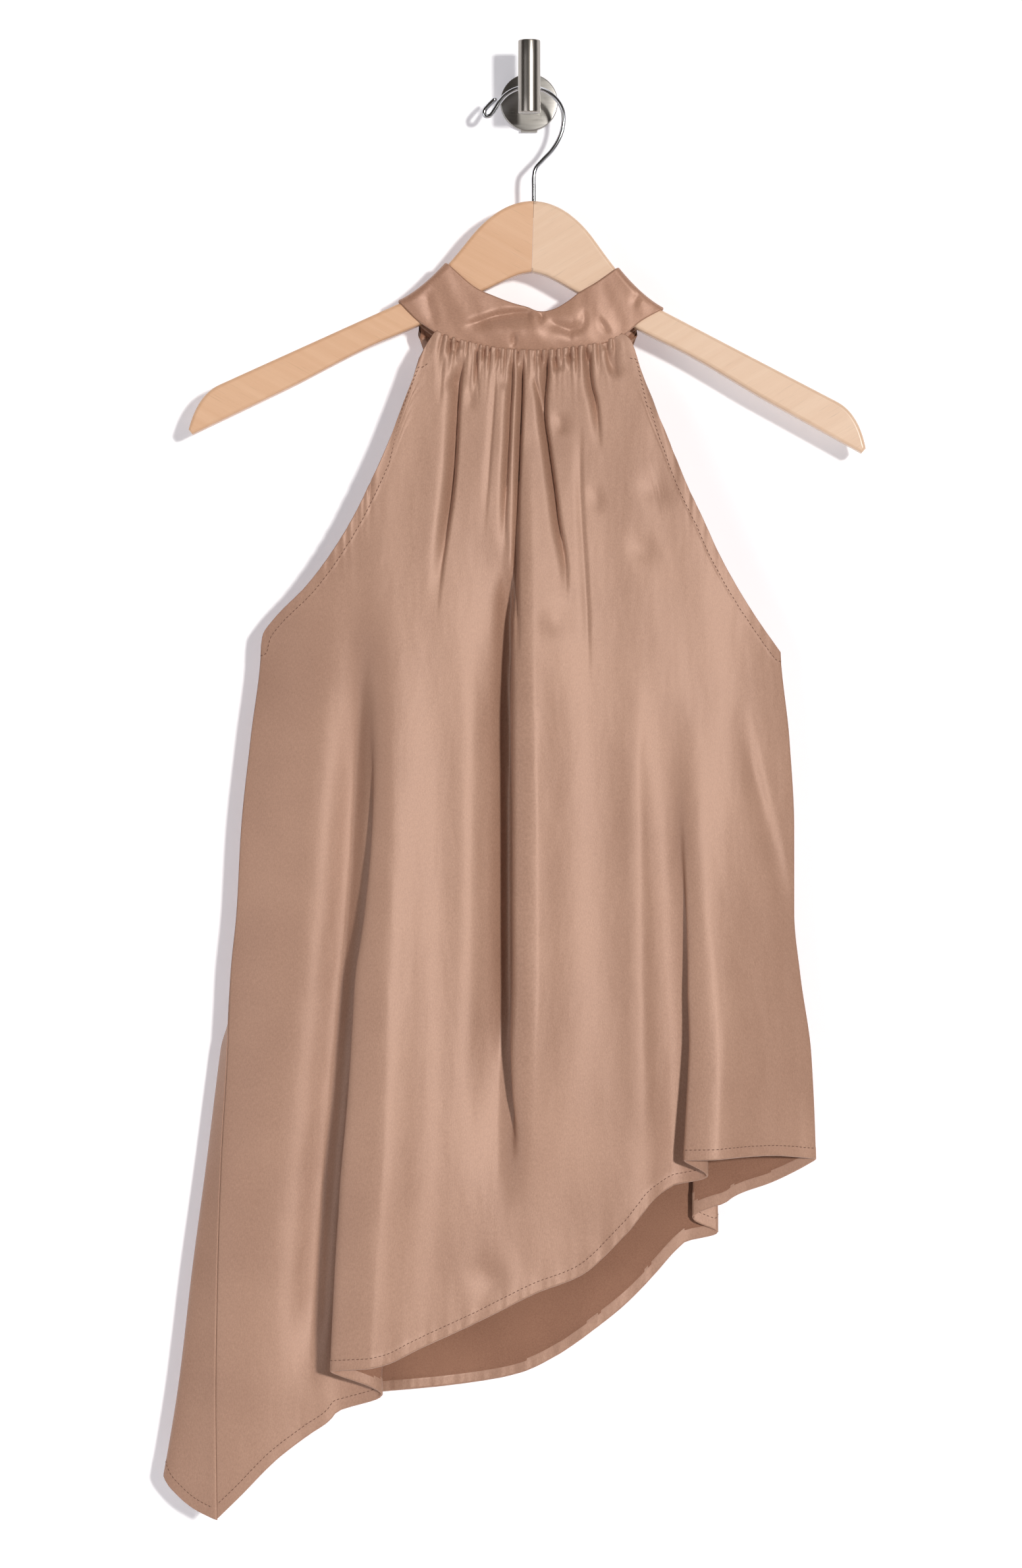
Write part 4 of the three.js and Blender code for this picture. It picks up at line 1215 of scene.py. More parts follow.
@dataclass
class ClothShell:
    """A closed thin wall on a grid of middle points, thicker where its edges are turned under.

    turned holds the columns of the top edges that are turned under, width is how far they and the hem are
    turned, and extra is how much thicker they are. A slit is its last row and the column left of it, and its
    edges roll under by roll. window is how many columns are searched for the nearest point of a top edge.
    """

    points: Array
    facing: int
    turned: Sequence[Array]
    thickness: float = 0.9
    extra: float = 0.7
    width: float = 7.0
    window: int = 16
    slit: tuple[int, int] | None = None
    roll: float = 3.0
    step: float = 0.9
    outer: float = 0.25
    bulge: float = 0.8

    def __post_init__(self) -> None:
        """Works out normals, and each point's distance from the nearest edge that is turned under."""
        down = np.gradient(self.points, axis=0)
        over = np.gradient(self.points, axis=1)
        self.normals = unit(np.cross(down, over) * self.facing)
        self.far = np.minimum(self._from_top(), self._from_hem(down[-1], over[-1]))
        if self.slit:
            last, column = self.slit
            x = self.points[: last + 1, :, 0]
            gap = np.minimum(np.abs(x - x[:, [column]]), np.abs(x - x[:, [column + 1]]))
            self.far[: last + 1] = np.minimum(self.far[: last + 1], gap + self.width - self.roll)

    def _from_top(self) -> Array:
        """Each point's distance from the turned edges of the top."""
        out = np.full(self.points.shape[:2], FAR_AWAY)
        for edge in self.turned:
            for column in range(self.points.shape[1]):
                near = edge[np.abs(edge - column) <= self.window]
                if len(near):
                    gaps = self.points[:, column, None] - self.points[0, near][None]
                    out[:, column] = np.minimum(out[:, column], np.linalg.norm(gaps, axis=-1).min(axis=1))
        return out

    def _from_hem(self, down: Array, over: Array) -> Array:
        """Each point's distance from the hem, up the cloth.

        Args:
            down: steps down the cloth at the hem.
            over: steps along the hem.

        Returns:
            The distance of each point, less where the upright lines meet the hem at a slant.
        """
        steps = np.linalg.norm(np.diff(self.points[::-1], axis=0), axis=-1)
        above = np.vstack([np.zeros((1, steps.shape[1])), np.cumsum(steps, axis=0)])[::-1]
        slant = np.linalg.norm(np.cross(down, over), axis=-1)
        slant /= np.linalg.norm(down, axis=-1) * np.linalg.norm(over, axis=-1)
        return above * np.maximum(slant, LEAST_SLANT)

    def line_at(self, distance: float, from_top: bool, columns: Array, lift: float) -> Array:
        """A line on the right side, parallel to an edge.

        Args:
            distance: how far from the edge it runs.
            from_top: whether the edge is the panel's top or its hem.
            columns: the grid columns that it crosses.
            lift: how far it stands off the cloth's face.

        Returns:
            The line's points.
        """
        order = slice(None) if from_top else slice(None, None, -1)
        out = []
        for c in columns:
            far, p, n = self.far[order, c], self.points[order, c], self.normals[order, c]
            past = int(np.argmax(far > distance))
            if past == 0:
                continue
            t = (distance - far[past - 1]) / max(far[past] - far[past - 1], 1e-9)
            out.append(lerp(p[past - 1], p[past], t) + n[past] * lift)
        return np.array(out)

    def draft(self) -> MeshDraft:
        """The wall's vertices and faces, right side first."""
        rows, cols = self.points.shape[:2]
        doubled = ease((self.width - self.far) / self.step + 0.5)[..., None]
        right = self.points + self.normals * (self.thickness / 2 + self.outer * self.extra * doubled)
        wrong = self.points - self.normals * (self.thickness / 2 + (1 - self.outer) * self.extra * doubled)
        p = self.points
        across = np.linalg.norm(np.diff(p, axis=1, prepend=p[:, :1]), axis=-1)
        along = np.linalg.norm(np.diff(p, axis=0, prepend=p[:1]), axis=-1)
        u = np.median(np.cumsum(across, axis=1), axis=0)[None, :].repeat(rows, 0)
        v = np.cumsum(along, axis=0)
        uv = np.stack([u, v], axis=-1).reshape(-1, 2)
        made = MeshDraft()
        a = made.add(right.reshape(-1, 3), uv)
        b = made.add(wrong.reshape(-1, 3), uv)
        grid = np.arange(rows * cols).reshape(rows, cols)
        kept = np.ones((rows - 1, cols - 1), bool)
        if self.slit:
            last, column = self.slit
            kept[:last, column] = False
        quads = np.stack([grid[:-1, :-1], grid[1:, :-1], grid[1:, 1:], grid[:-1, 1:]], axis=-1)[kept]
        hem = (self.far < self.width)[:-1, :-1][kept]
        ordered = quads if self.facing > 0 else quads[:, ::-1]
        made.faces += [tuple(q) for q in (ordered + a).tolist()]
        made.kinds += [Kind.RIGHT_SIDE.value] * len(ordered)
        made.faces += [tuple(q) for q in (ordered[:, ::-1] + b).tolist()]
        made.kinds += np.where(hem, Kind.RIGHT_SIDE.value, Kind.WRONG_SIDE.value).tolist()
        self._rims(made, ordered, (a, b), (right.reshape(-1, 3), wrong.reshape(-1, 3)), uv)
        return made

    def _rims(
        self, made: MeshDraft, quads: Array, firsts: tuple[int, int], walls: tuple[Array, Array], uv: Array
    ) -> None:
        """Closes every free edge with a rounded rim.

        Args:
            made: the draft to add to.
            quads: the right side's faces, as grid numbers.
            firsts: the first vertex of the right and of the wrong side.
            walls: the points of the right and of the wrong side.
            uv: texture coordinates of the grid.
        """
        (a, b), (right, wrong) = firsts, walls
        starts = quads.ravel()
        stops = np.roll(quads, -1, axis=1).ravel()
        centres = self.points.reshape(-1, 3)[quads].mean(axis=1).repeat(4, axis=0)
        size = len(right)
        twins = np.isin(starts * size + stops, stops * size + starts)
        s, e, c = starts[~twins], stops[~twins], centres[~twins]
        middle = (right + wrong) / 2
        outward = np.zeros_like(middle)
        push = (middle[s] + middle[e]) / 2 - c
        np.add.at(outward, s, push)
        np.add.at(outward, e, push)
        n = self.normals.reshape(-1, 3)
        outward -= n * np.sum(outward * n, axis=1, keepdims=True)
        outward = unit(outward)
        half = np.linalg.norm(right - wrong, axis=1, keepdims=True) / 2
        used = np.unique(np.concatenate([s, e]))
        number = np.full(size, -1)
        rim = middle + outward * half * self.bulge
        number[used] = made.add(rim[used], uv[used]) + np.arange(len(used))
        for i, j in zip(s, e):
            made.face((a + j, a + i, number[i], number[j]))
            made.face((number[j], number[i], b + i, b + j))


def panel_density(form: PanelForm, low: float, high: float) -> Callable[[Array], Array]:
    """How close together a panel's columns lie: closer at its folds and at its gathers.

    Args:
        form: the panel.
        low: share of the left end of the gathers.
        high: share of the right end of the gathers.

    Returns:
        The density by share.
    """

    def density(s: Array) -> Array:
        """Columns to a share.

        Args:
            s: shares of the panel's width.

        Returns:
            The density at each share.
        """
        out = 1.0 + 2.0 * ease((s - low) / GATHER_REACH) * ease((high - s) / GATHER_REACH)
        for f in form.folds:
            out = out + (2.4 if f.overlap > 2 else 0.5) * fades((s - f.share) / (0.8 * f.half))
        return out + 2.0 * (fades(s / 0.02) + fades((1 - s) / 0.02))

    return density


def row_density(d: Array) -> Array:
    """How close together a panel's rows lie: closer at its top and at its hem."""
    return 1.0 + 7.0 * np.exp(-d / 0.012) + 3.0 * np.exp(-d / 0.09) + 7.0 * np.exp(-(1 - d) / 0.014)


def band_density(d: Array) -> Array:
    """How close together the band's columns lie: closer at its two edges."""
    return 1 + 3 * np.exp(-d / 0.05) + 3 * np.exp(-(1 - d) / 0.05)


# The neckband

DOME = bezier([(0, 0), (17, 0), (31, -12), (41, -25.4)], 18)
NECK_SLOPE = bezier([(41, -25.4), (45.5, -31.4), (49.5, -36.6), (54, -42)], 6)
SHOULDER_POINTS = [(54, -42), (62, -51.4), (73, -62.6), (85, -68.6)]
ARM_END = bezier([(200.6, -124.8), (211, -129.8), (217, -141), (220, -154.5)], 12)
ARM_TIP = (217.4, -157.6)
UNDERSIDE = [(150.7, -123.2), (104.8, -97.8), (71.5, -82.2), (31.5, -59.6), (9.0, -48.2), (0, -46.0)]
BAND_TOP = [
    (-35, -125), (-23, -130.5), (-11, -135), (-2, -137.5), (7, -140.5), (16, -139), (25, -134), (33, -128),
    (44, -121.5),
]
BAND_BOTTOM = [
    (-70, -147), (-55, -156), (-34, -162), (-18, -165), (-3, -166), (12, -166), (29, -164), (44, -161.5),
    (61, -155), (72, -146),
]
BACK_DROOP = 5.0
CREST_START = 0.04
CREST_SPANS = 200
CREST_FADE = 0.1
REST = 0.5
BAND_OFF = HANGER_THICK / 2 + BAND / 2 + REST
BAND_SLACK = 3.2
BAND_LENGTH = 160.0
LAP = 22.0
LAP_OFF = BAND + SEAM_GAP + 0.2
LAP_STEP = 0.3
LAP_EASE = 0.1
ARCH_ROWS = 13
FRONT_ROWS = 130
BACK_ROWS = 65
ARCH_RUN = 0.024
ARCH = [(0, 0), (0, 3.4), (0.004, 5.6), (0.012, 6.8), (ARCH_RUN, BAND_OFF)]
# along, across, width, height, depth, lean
BUCKLES = [
    (0.4, 0.3, 0.12, 0.16, 1.2, 0.5),
    (0.56, 0.55, 0.03, 0.3, 0.8, -0.1),
    (0.68, 0.55, 0.06, 0.22, 0.8, 0.5),
]
BAND_CREASES = [
    Crease(3, 1.6, ((-46, -150), (-36, -147), (-20, -142), (-4, -139.5), (3.5, -139)), (0.3, 0.1), 6),
    Crease(1.5, 2.2, ((5, -138), (8.5, -142.5), (7, -149)), (0.2, 0.5), 1),
    Crease(2, 2.6, ((-8, -154), (-9.5, -158), (-8.5, -163)), (0.3, 0.2), 1),
    Crease(2.2, 4.5, ((11, -145), (20, -149.5), (30, -152), (35.5, -147)), (0.3, 0.4), 2.6),
    Crease(1.2, 3, ((32, -155), (36, -146), (35, -138)), (0.4, 0.4), 1.8),
    Crease(1.4, 3, ((45, -143), (49, -150), (53, -155)), (0.4, 0.4), 1.2),
    Crease(1.4, 2.6, ((73.5, -126), (70, -132), (67, -139.5)), (0.2, 0.5), 1),
    Crease(1, 3, ((-67, -126), (-64, -138), (-59.3, -151.4)), (0.2, 0.4), 2),
]


def hung(point: Array, side: int) -> Array:
    """Points of the hanger's own frame, placed and tilted.

    Args:
        point: (distance out along the arm, height) of each point.
        side: 1 to the right and -1 to the left.

    Returns:
        (x, z) of each point.
    """
    p = np.asarray(point, float)
    x = side * p[..., 0]
    c, s = math.cos(HANGER_TILT), math.sin(HANGER_TILT)
    across, up = x * c + p[..., 1] * s, p[..., 1] * c - x * s
    return np.stack([HANGER_APEX[0] + across, HANGER_APEX[1] + up], axis=-1)


def crest(w: Array | float, side: int) -> Array:
    """Where the band lies on a shoulder of the hanger.

    Args:
        w: place between the band's upper edge, 0, and its lower edge, 1.
        side: 1 for the right shoulder and -1 for the left.

    Returns:
        (x, z) of each place.
    """
    t = np.clip(w, 0, 1) * (1 - CREST_START) + CREST_START
    curve = bezier(SHOULDER_POINTS, CREST_SPANS)
    at = np.linspace(0, 1, CREST_SPANS + 1)
    p = np.stack([np.interp(t, at, curve[:, k]) for k in (0, 1)], axis=-1)
    slope = np.gradient(curve, axis=0)
    d = np.stack([np.interp(t, at, slope[:, k]) for k in (0, 1)], axis=-1)
    d = unit(d)
    off = BAND / 2 + REST
    return hung(p + np.stack([-d[..., 1], d[..., 0]], axis=-1) * off, side)


class BandForm:
    """Where the neckband's cloth lies."""

    def __init__(self) -> None:
        """Draws the band's two edges."""
        self.high = self._edge(BAND_TOP, 0.0)
        self.low = self._edge(BAND_BOTTOM, 1.0)

    @staticmethod
    def _edge(rows: Sequence[tuple[float, float]], w: float) -> Array:
        """One edge from crest to crest."""
        return catmull([crest(w, -1), *rows, crest(w, 1)], 40)

    def points(self, along: Array, across: Array, off: Array, side: Array) -> Array:
        """Points of the band's middle surface.

        Args:
            along: from the left crest, 0, to the right crest, 1.
            across: from the upper edge, 0, to the lower edge, 1.
            off: distance from the hanger's middle plane.
            side: -1 in front and 1 at the back.

        Returns:
            A point for each entry.
        """
        along, across, off, side = np.broadcast_arrays(along, across, off, side)
        a = np.clip(along, 0, 1)
        p = lerp(by_length(self.high, a), by_length(self.low, a), across[..., None])
        for end in (-1, 1):
            c, first, last = crest(across, end), crest(0.0, end), crest(1.0, end)
            fade = np.exp(-(along if end < 0 else 1 - along) / CREST_FADE)[..., None]
            p = p + (c - lerp(first, last, across[..., None])) * fade
        x, z = p[..., 0], p[..., 1]
        z = z - np.where(side > 0, BACK_DROOP * np.sin(np.pi * a), 0)
        slack = np.sin(np.pi * a) ** 2 * np.sin(np.pi * across)
        out = BAND_SLACK * slack
        for middle, over, wide, tall, depth, lean in BUCKLES:
            u = (along - middle - lean * (across - over) * 0.2) / wide
            v = (across - over) / tall
            held = np.where(side < 0, 1.0, 0.6) * np.clip(slack * 3, 0, 1)
            out = out - depth * np.exp(-u * u - v * v) * held
        loose = np.clip((off - 6.6) / 0.7, 0, 1) * np.clip(np.sin(np.pi * across) * 2.5, 0, 1)
        push = sum(c.push(x, z) for c in BAND_CREASES)
        wave = ripples(x + 0.5 * z, (15.0, 23.0, 37.0), 61) * 0.45
        out = out - loose * np.where(side < 0, push + wave, wave)
        return np.stack([x, HANGER_Y + side * (off + out), z], axis=-1)

    def seam(self, side: int) -> Track:
        """The band's lower edge.

        Args:
            side: -1 in front and 1 at the back.

        Returns:
            Its height against x.
        """
        along = lerp(CREST_START, 1 - CREST_START, np.arange(41) / 40)
        p = self.points(along, 1.0, BAND_OFF, side)
        return Track([(float(x), float(z)) for x, _, z in p])

    def stations(self) -> Array:
        """Rows across the band, from its inner end at the back, round the front, to its outer end.

        Returns:
            (along, off, side) of each row.
        """
        off_at = Track([(k, off) for k, (_, off) in enumerate(ARCH)])
        run_at = Track([(k, run) for k, (run, _) in enumerate(ARCH)])
        steps = np.linspace(0, len(ARCH) - 1, ARCH_ROWS)
        arch = np.stack([run_at(steps), off_at(steps), -np.ones(ARCH_ROWS)], axis=-1)
        front = np.linspace(ARCH_RUN, 1 - ARCH_RUN, FRONT_ROWS + 2)[1:-1]
        middle = np.stack([front, np.full(FRONT_ROWS, BAND_OFF), -np.ones(FRONT_ROWS)], axis=-1)
        other = arch * (-1, 1, 1) + (1, 0, 0)
        behind = arch[:0:-1] * (1, 1, -1)
        behind_other = other[1:] * (1, 1, -1)
        share = LAP / 2 / BAND_LENGTH

        def back(start: float, stop: float, out: float) -> Array:
            """Rows along the back.

            Args:
                start: where they start.
                stop: where they end.
                out: how far they step off near the lap.

            Returns:
                (along, off, side) of each row.
            """
            at = np.linspace(start, stop, BACK_ROWS + 1)[1:]
            off = BAND_OFF + out * ease((np.abs(at - start) - LAP_STEP) / LAP_EASE)
            return np.stack([at, off, np.ones(BACK_ROWS)], axis=-1)

        inner = back(ARCH_RUN, 0.5 + share, 0.0)[::-1]
        outer = back(1 - ARCH_RUN, 0.5 - share, LAP_OFF)
        return np.vstack([inner, behind, arch, middle, other[::-1], behind_other, outer])


BAND_FORM = BandForm()


@dataclass
class Neckband:
    """The doubled stand-up band, which lies over the hanger's shoulders and laps at the centre back."""

    across: int = 22
    flat: tuple[float, float] = (0.41, 0.036)

    def build(self, satin: bpy.types.Material) -> bpy.types.Object:
        """Makes the band.

        Args:
            satin: its finish.

        Returns:
            The finished piece.
        """
        rows = BAND_FORM.stations()
        over = spaced(band_density, self.across + 1)
        grid = BAND_FORM.points(rows[:, :1], over[None, :], rows[:, 1:2], rows[:, 2:])
        shell = ClothShell(grid, 1, [], thickness=BAND, extra=0.0)
        piece = shell.draft().piece("neckband_satin", [satin, satin])
        return place(piece, Slot.SATIN, "neckband")


def stitch_tree(thread: bpy.types.Material) -> bpy.types.GeometryNodeTree:
    """Geometry Nodes that lay a stitch at even steps along a line.

    Args:
        thread: the stitches' finish.

    Returns:
        The tree, with Spacing, Length and Radius as inputs.
    """
    tree = bpy.data.node_groups.new("running_stitch", "GeometryNodeTree")
    face = tree.interface
    face.new_socket("Geometry", in_out="INPUT", socket_type="NodeSocketGeometry")
    for name, value in (("Spacing", 0.003), ("Length", 0.0022), ("Radius", 0.0003)):
        face.new_socket(name, in_out="INPUT", socket_type="NodeSocketFloat").default_value = value
    face.new_socket("Geometry", in_out="OUTPUT", socket_type="NodeSocketGeometry")
    made = {}
    for name, kind, settings, values in (
        ("start", "NodeGroupInput", {}, {}),
        ("stop", "NodeGroupOutput", {}, {}),
        ("curve", "GeometryNodeMeshToCurve", {}, {}),
        ("dots", "GeometryNodeCurveToPoints", {"mode": "LENGTH"}, {}),
        ("turn", "FunctionNodeAlignRotationToVector", {"axis": "X"}, {}),
        ("size", "ShaderNodeCombineXYZ", {}, {}),
        ("half", "ShaderNodeMath", {"operation": "MULTIPLY"}, {1: 0.5}),
        ("ball", "GeometryNodeMeshIcoSphere", {}, {"Radius": 1.0, "Subdivisions": 1}),
        ("laid", "GeometryNodeInstanceOnPoints", {}, {}),
        ("real", "GeometryNodeRealizeInstances", {}, {}),
        ("finish", "GeometryNodeSetMaterial", {}, {"Material": thread}),
    ):
        made[name] = tree.nodes.new(kind)
        for key, value in settings.items():
            setattr(made[name], key, value)
        for key, value in values.items():
            made[name].inputs[key].default_value = value
    for source, output, target, entry in (
        ("start", "Geometry", "curve", "Mesh"),
        ("curve", "Curve", "dots", "Curve"),
        ("start", "Spacing", "dots", "Length"),
        ("dots", "Tangent", "turn", "Vector"),
        ("start", "Length", "half", 0),
        ("half", 0, "size", "X"),
        ("start", "Radius", "size", "Y"),
        ("start", "Radius", "size", "Z"),
        ("dots", "Points", "laid", "Points"),
        ("ball", "Mesh", "laid", "Instance"),
        ("turn", "Rotation", "laid", "Rotation"),
        ("size", "Vector", "laid", "Scale"),
        ("laid", "Instances", "real", "Geometry"),
        ("real", "Geometry", "finish", "Geometry"),
        ("finish", "Geometry", "stop", "Geometry"),
    ):
        tree.links.new(made[source].outputs[output], made[target].inputs[entry])
    return tree


@dataclass(frozen=True)
class Stitching:
    """Running stitches along lines."""

    tree: bpy.types.GeometryNodeTree
    spacing: float = 2.9
    length: float = 2.1
    radius: float = 0.28

    def build(self, name: str, lines: Sequence[Array], thread: bpy.types.Material) -> bpy.types.Object:
        """Lays the stitches and bakes them.

        Args:
            name: the piece's name.
            lines: the lines they follow, in millimetres.
            thread: their finish.

        Returns:
            The piece, which rides the frame.
        """
        points, edges, first = [], [], 0
        for line in lines:
            points += (line * MM).tolist()
            edges += [(first + i, first + i + 1) for i in range(len(line) - 1)]
            first += len(line)
        mesh = bpy.data.meshes.new(name + "_line")
        mesh.from_pydata(points, edges, [])
        guide = bpy.data.objects.new(name + "_guide", mesh)
        bpy.context.scene.collection.objects.link(guide)
        laid = guide.modifiers.new("stitches", "NODES")
        laid.node_group = self.tree
        sizes = {"Spacing": self.spacing, "Length": self.length, "Radius": self.radius}
        for item in self.tree.interface.items_tree:
            if item.in_out == "INPUT" and item.name in sizes:
                laid[item.identifier] = sizes[item.name] * MM
        laid_out = guide.evaluated_get(bpy.context.evaluated_depsgraph_get())
        baked = bpy.data.meshes.new_from_object(laid_out)
        baked.name = name
        baked.shade_smooth()
        guide.modifiers.remove(laid)
        bpy.data.objects.remove(guide)
        baked.materials.clear()
        baked.materials.append(thread)
        piece = bpy.data.objects.new(name, baked)
        bpy.context.scene.collection.objects.link(piece)
        return place(piece, Slot.SATIN)


@dataclass
class Panel:
    """A front or back panel with its turned edges and their stitches."""

    name: str
    node: str
    form: PanelForm
    facing: int
    flat: tuple[float, float]
    area: float
    columns: int = 300
    rows: int = 156
    hem_line: float = 6.2
    arm_line: float = 6.0

    def build(
        self, right_side: bpy.types.Material, wrong_side: bpy.types.Material, stitching: Stitching,
        thread: bpy.types.Material,
    ) -> list[bpy.types.Object]:
        """Makes the panel and its stitches.

        Args:
            right_side: the finish of the outer face.
            wrong_side: the finish of the inner face.
            stitching: lays the stitches.
            thread: the stitches' finish.

        Returns:
            The panel, then its stitches.
        """
        form = self.form
        low, high = form.shares[0] - GATHER_REACH, form.shares[-1] + GATHER_REACH
        share = spaced(panel_density(form, low, high), self.columns)
        down = spaced(row_density, self.rows)
        if form.drop:
            split = form.share_at(form.drop.x, form.drop.top)
            beside = [split - SPLIT_HALF, split + SPLIT_HALF]
            share = np.sort(np.append(share[np.abs(share - split) > SPLIT_CLEAR], beside))
        points = form.points(share[None, :], down[:, None])
        slit = None
        if form.drop:
            column = int(np.searchsorted(share, split)) - 1
            slit = int(np.argmax(points[:, column, 2] < form.drop.end)), column
        tops = form.top(share)
        arms = np.abs(tops - (form.seam(form.across(share, tops)) + form.tuck)) > OFF_SEAM
        left = np.nonzero(arms & (share < 0.5))[0]
        right = np.nonzero(arms & (share > 0.5))[0]
        shell = ClothShell(points, self.facing, [left, right], slit=slit)
        piece = shell.draft().piece(self.name, [right_side, wrong_side])
        place(piece, Slot.SATIN, self.node)
        lift = shell.thickness / 2 + shell.extra / 4 + 0.05
        lines = [
            shell.line_at(self.arm_line, True, left[1:-1], lift),
            shell.line_at(self.arm_line, True, right[1:-1], lift),
            shell.line_at(self.hem_line, False, np.arange(2, len(share) - 2), lift),
        ]
        sewn = stitching.build(self.name + "_stitches", lines, thread)
        return [piece, sewn]


FRONT_FORM = PanelForm(
    FRONT_FOLDS, FRONT_GATHERS, FRONT_CREASES, Track(FRONT_HEM), ARM_FRONT_LEFT, ARM_FRONT_RIGHT,
    BAND_FORM.seam(-1), "front", 1, wrap_front, 11,
)
BACK_FORM = PanelForm(
    BACK_FOLDS, BACK_GATHERS, BACK_CREASES, Track(BACK_HEM), ARM_BACK_LEFT, ARM_BACK_RIGHT,
    BAND_FORM.seam(1), "back", -1, wrap_back, 23, 0.2,
    Drop(float(BAND_FORM.points(np.array([0.5]), 0.5, BAND_OFF, 1)[0, 0])),
)


# Hanger and wall hook

# Share of the radius, distance past the end in radii
TUBE_END = ((0.05, 0.99), (0.45, 0.88), (0.8, 0.55))


@dataclass
class Hanger:
    """Two glued halves of wood and a wire hook."""

    bevel: float = 2.4
    bevel_steps: int = 6
    wire_radius: float = 1.5
    wire_sides: int = 20
    route: Sequence[tuple[float, float]] = (
        (-22.4, -1.4), (-26.4, -5.4), (-29.2, -9.2), (-28.6, -12.2), (-25.4, -12), (-22.4, -8.2),
        (-19.4, -3.4), (-15, 1.6), (-8, 5.4), (0, 6.1), (9.5, 4.6), (17.2, -0.8), (21.6, -8), (22.4, -16),
        (20.4, -25), (15, -34.4), (8.4, -41.4), (4.2, -46.4), (3, -52), (3, -60), (3, -68), (3, -77),
    )

    def half(self, side: int, wood: bpy.types.Material) -> bpy.types.Object:
        """One half of the wood.

        Args:
            side: 1 for the right half and -1 for the left.
            wood: its finish.

        Returns:
            The finished piece.
        """
        outline, inward = self.outline()
        half_thick = HANGER_THICK / 2
        angles = np.linspace(0, np.pi / 2, self.bevel_steps + 1)
        inset = self.bevel * (1 - np.sin(angles))
        front = half_thick - self.bevel * (1 - np.cos(angles))
        profile = [*zip(inset, front), *zip(inset[::-1], -front[::-1])]
        rings = []
        for step, y in profile:
            flat = hung(outline + inward * step, side)
            rings.append(np.stack([flat[:, 0], np.full(len(flat), HANGER_Y + y), flat[:, 1]], axis=1))
        made = MeshDraft()
        made.cap(made.rings([r[::-1] if side > 0 else r for r in rings]), len(outline))
        name = "right" if side > 0 else "left"
        piece = made.piece("hanger_wood_" + name, [wood])
        for polygon in piece.data.polygons:
            polygon.use_smooth = len(polygon.vertices) < 5
        return place(piece, Slot.WOOD, "hanger_" + name)

    @staticmethod
    def outline() -> tuple[Array, Array]:
        """Outline of one half from the joint round its tip and back.

        Returns:
            Its points, and at each the direction into the wood.
        """
        shoulder = bezier(SHOULDER_POINTS, 14)
        arm = lerp(np.array(SHOULDER_POINTS[-1]), ARM_END[0], np.linspace(0.1, 0.9, 9)[:, None])
        under = catmull(UNDERSIDE, 8)
        parts = [DOME, NECK_SLOPE[1:], shoulder[1:], arm, ARM_END, [ARM_TIP], under]
        line = np.vstack([np.asarray(p, float) for p in parts])
        line[:, 0] = np.maximum(line[:, 0], SEAM_GAP / 4)
        ahead = unit(np.roll(line, -1, axis=0) - line)
        behind = unit(line - np.roll(line, 1, axis=0))
        tangent = unit(ahead + behind)
        inward = np.stack([tangent[:, 1], -tangent[:, 0]], axis=1)
        joint = line[:, 0] < 0.2
        inward[joint] = (0.0, 1.0)
        inward[joint & (line[:, 1] > -10)] = (0.0, -1.0)
        return line, inward

    def wire(self, chrome: bpy.types.Material) -> bpy.types.Object:
        """The bent wire hook.

        Args:
            chrome: its finish.

        Returns:
            The finished piece.
        """
        flat = catmull(self.route, 10)
        line = np.stack([flat[:, 0], np.full(len(flat), HANGER_Y), flat[:, 1]], axis=1)
        piece = tube(line, self.wire_radius, self.wire_sides).piece("hook_wire_bent", [chrome])
        return place(piece, Slot.WIRE, "hanger_hook")


def tube(line: Array, radius: float, count: int) -> MeshDraft:
    """A round tube along a line with rounded ends.

    Args:
        line: the points it follows.
        radius: its radius.
        count: points of a ring.

    Returns:
        The draft.
    """
    along = unit(np.gradient(line, axis=0))
    across = np.cross(along[0], (0.0, 1.0, 0.001))
    angles = np.linspace(0, 2 * np.pi, count, endpoint=False)[:, None]
    frames = []
    for t in along:
        across = unit(across - t * np.dot(across, t))
        frames.append((across, np.cross(t, across)))

    def ring(number: int, share: float = 1.0, back: float = 0.0) -> Array:
        """A ring about a point of the line.

        Args:
            number: the point's number.
            share: the ring's share of the tube's radius.
            back: how far it lies along the line from the point, in radii.

        Returns:
            The ring's points.
        """
        a, b = frames[number]
        centre = line[number] + along[number] * back * radius
        return centre + share * radius * (a * np.cos(angles) + b * np.sin(angles))

    rings = [ring(0, share, -back) for share, back in TUBE_END]
    rings += [ring(i) for i in range(len(line))]
    rings += [ring(-1, share, back) for share, back in reversed(TUBE_END)]
    made = MeshDraft()
    made.cap(made.rings(rings), count)
    return made


class Axis(Enum):
    """Which way a turned solid grows."""

    UP = "up"
    OUT = "away from the wall"
    BACK = "towards the wall"


def lathe(profile: Sequence[tuple[float, float]], count: int, at: Sequence[float], axis: Axis) -> MeshDraft:
    """A turned solid.

    Args:
        profile: (radius, distance along the axis), from end to end, both ends at radius 0.
        count: points of a ring.
        at: where the axis starts.
        axis: which way it runs.

    Returns:
        The draft.
    """
    angles = np.linspace(0, 2 * np.pi, count, endpoint=False)
    rings = []
    for r, h in profile:
        c, s = r * np.cos(angles), r * np.sin(angles)
        full = np.full(count, h)
        rows = {Axis.UP: (c, s, full), Axis.OUT: (c, -full, s), Axis.BACK: (-c, full, s)}[axis]
        rings.append(np.stack(rows, axis=1) + np.array(at))
    made = MeshDraft()
    firsts = made.rings(rings[1:-1])
    low = made.add(rings[0][:1])
    high = made.add(rings[-1][:1])
    for i in range(count):
        j = (i + 1) % count
        made.face((low, firsts[0] + j, firsts[0] + i))
        made.face((high, firsts[-1] + i, firsts[-1] + j))
    return made


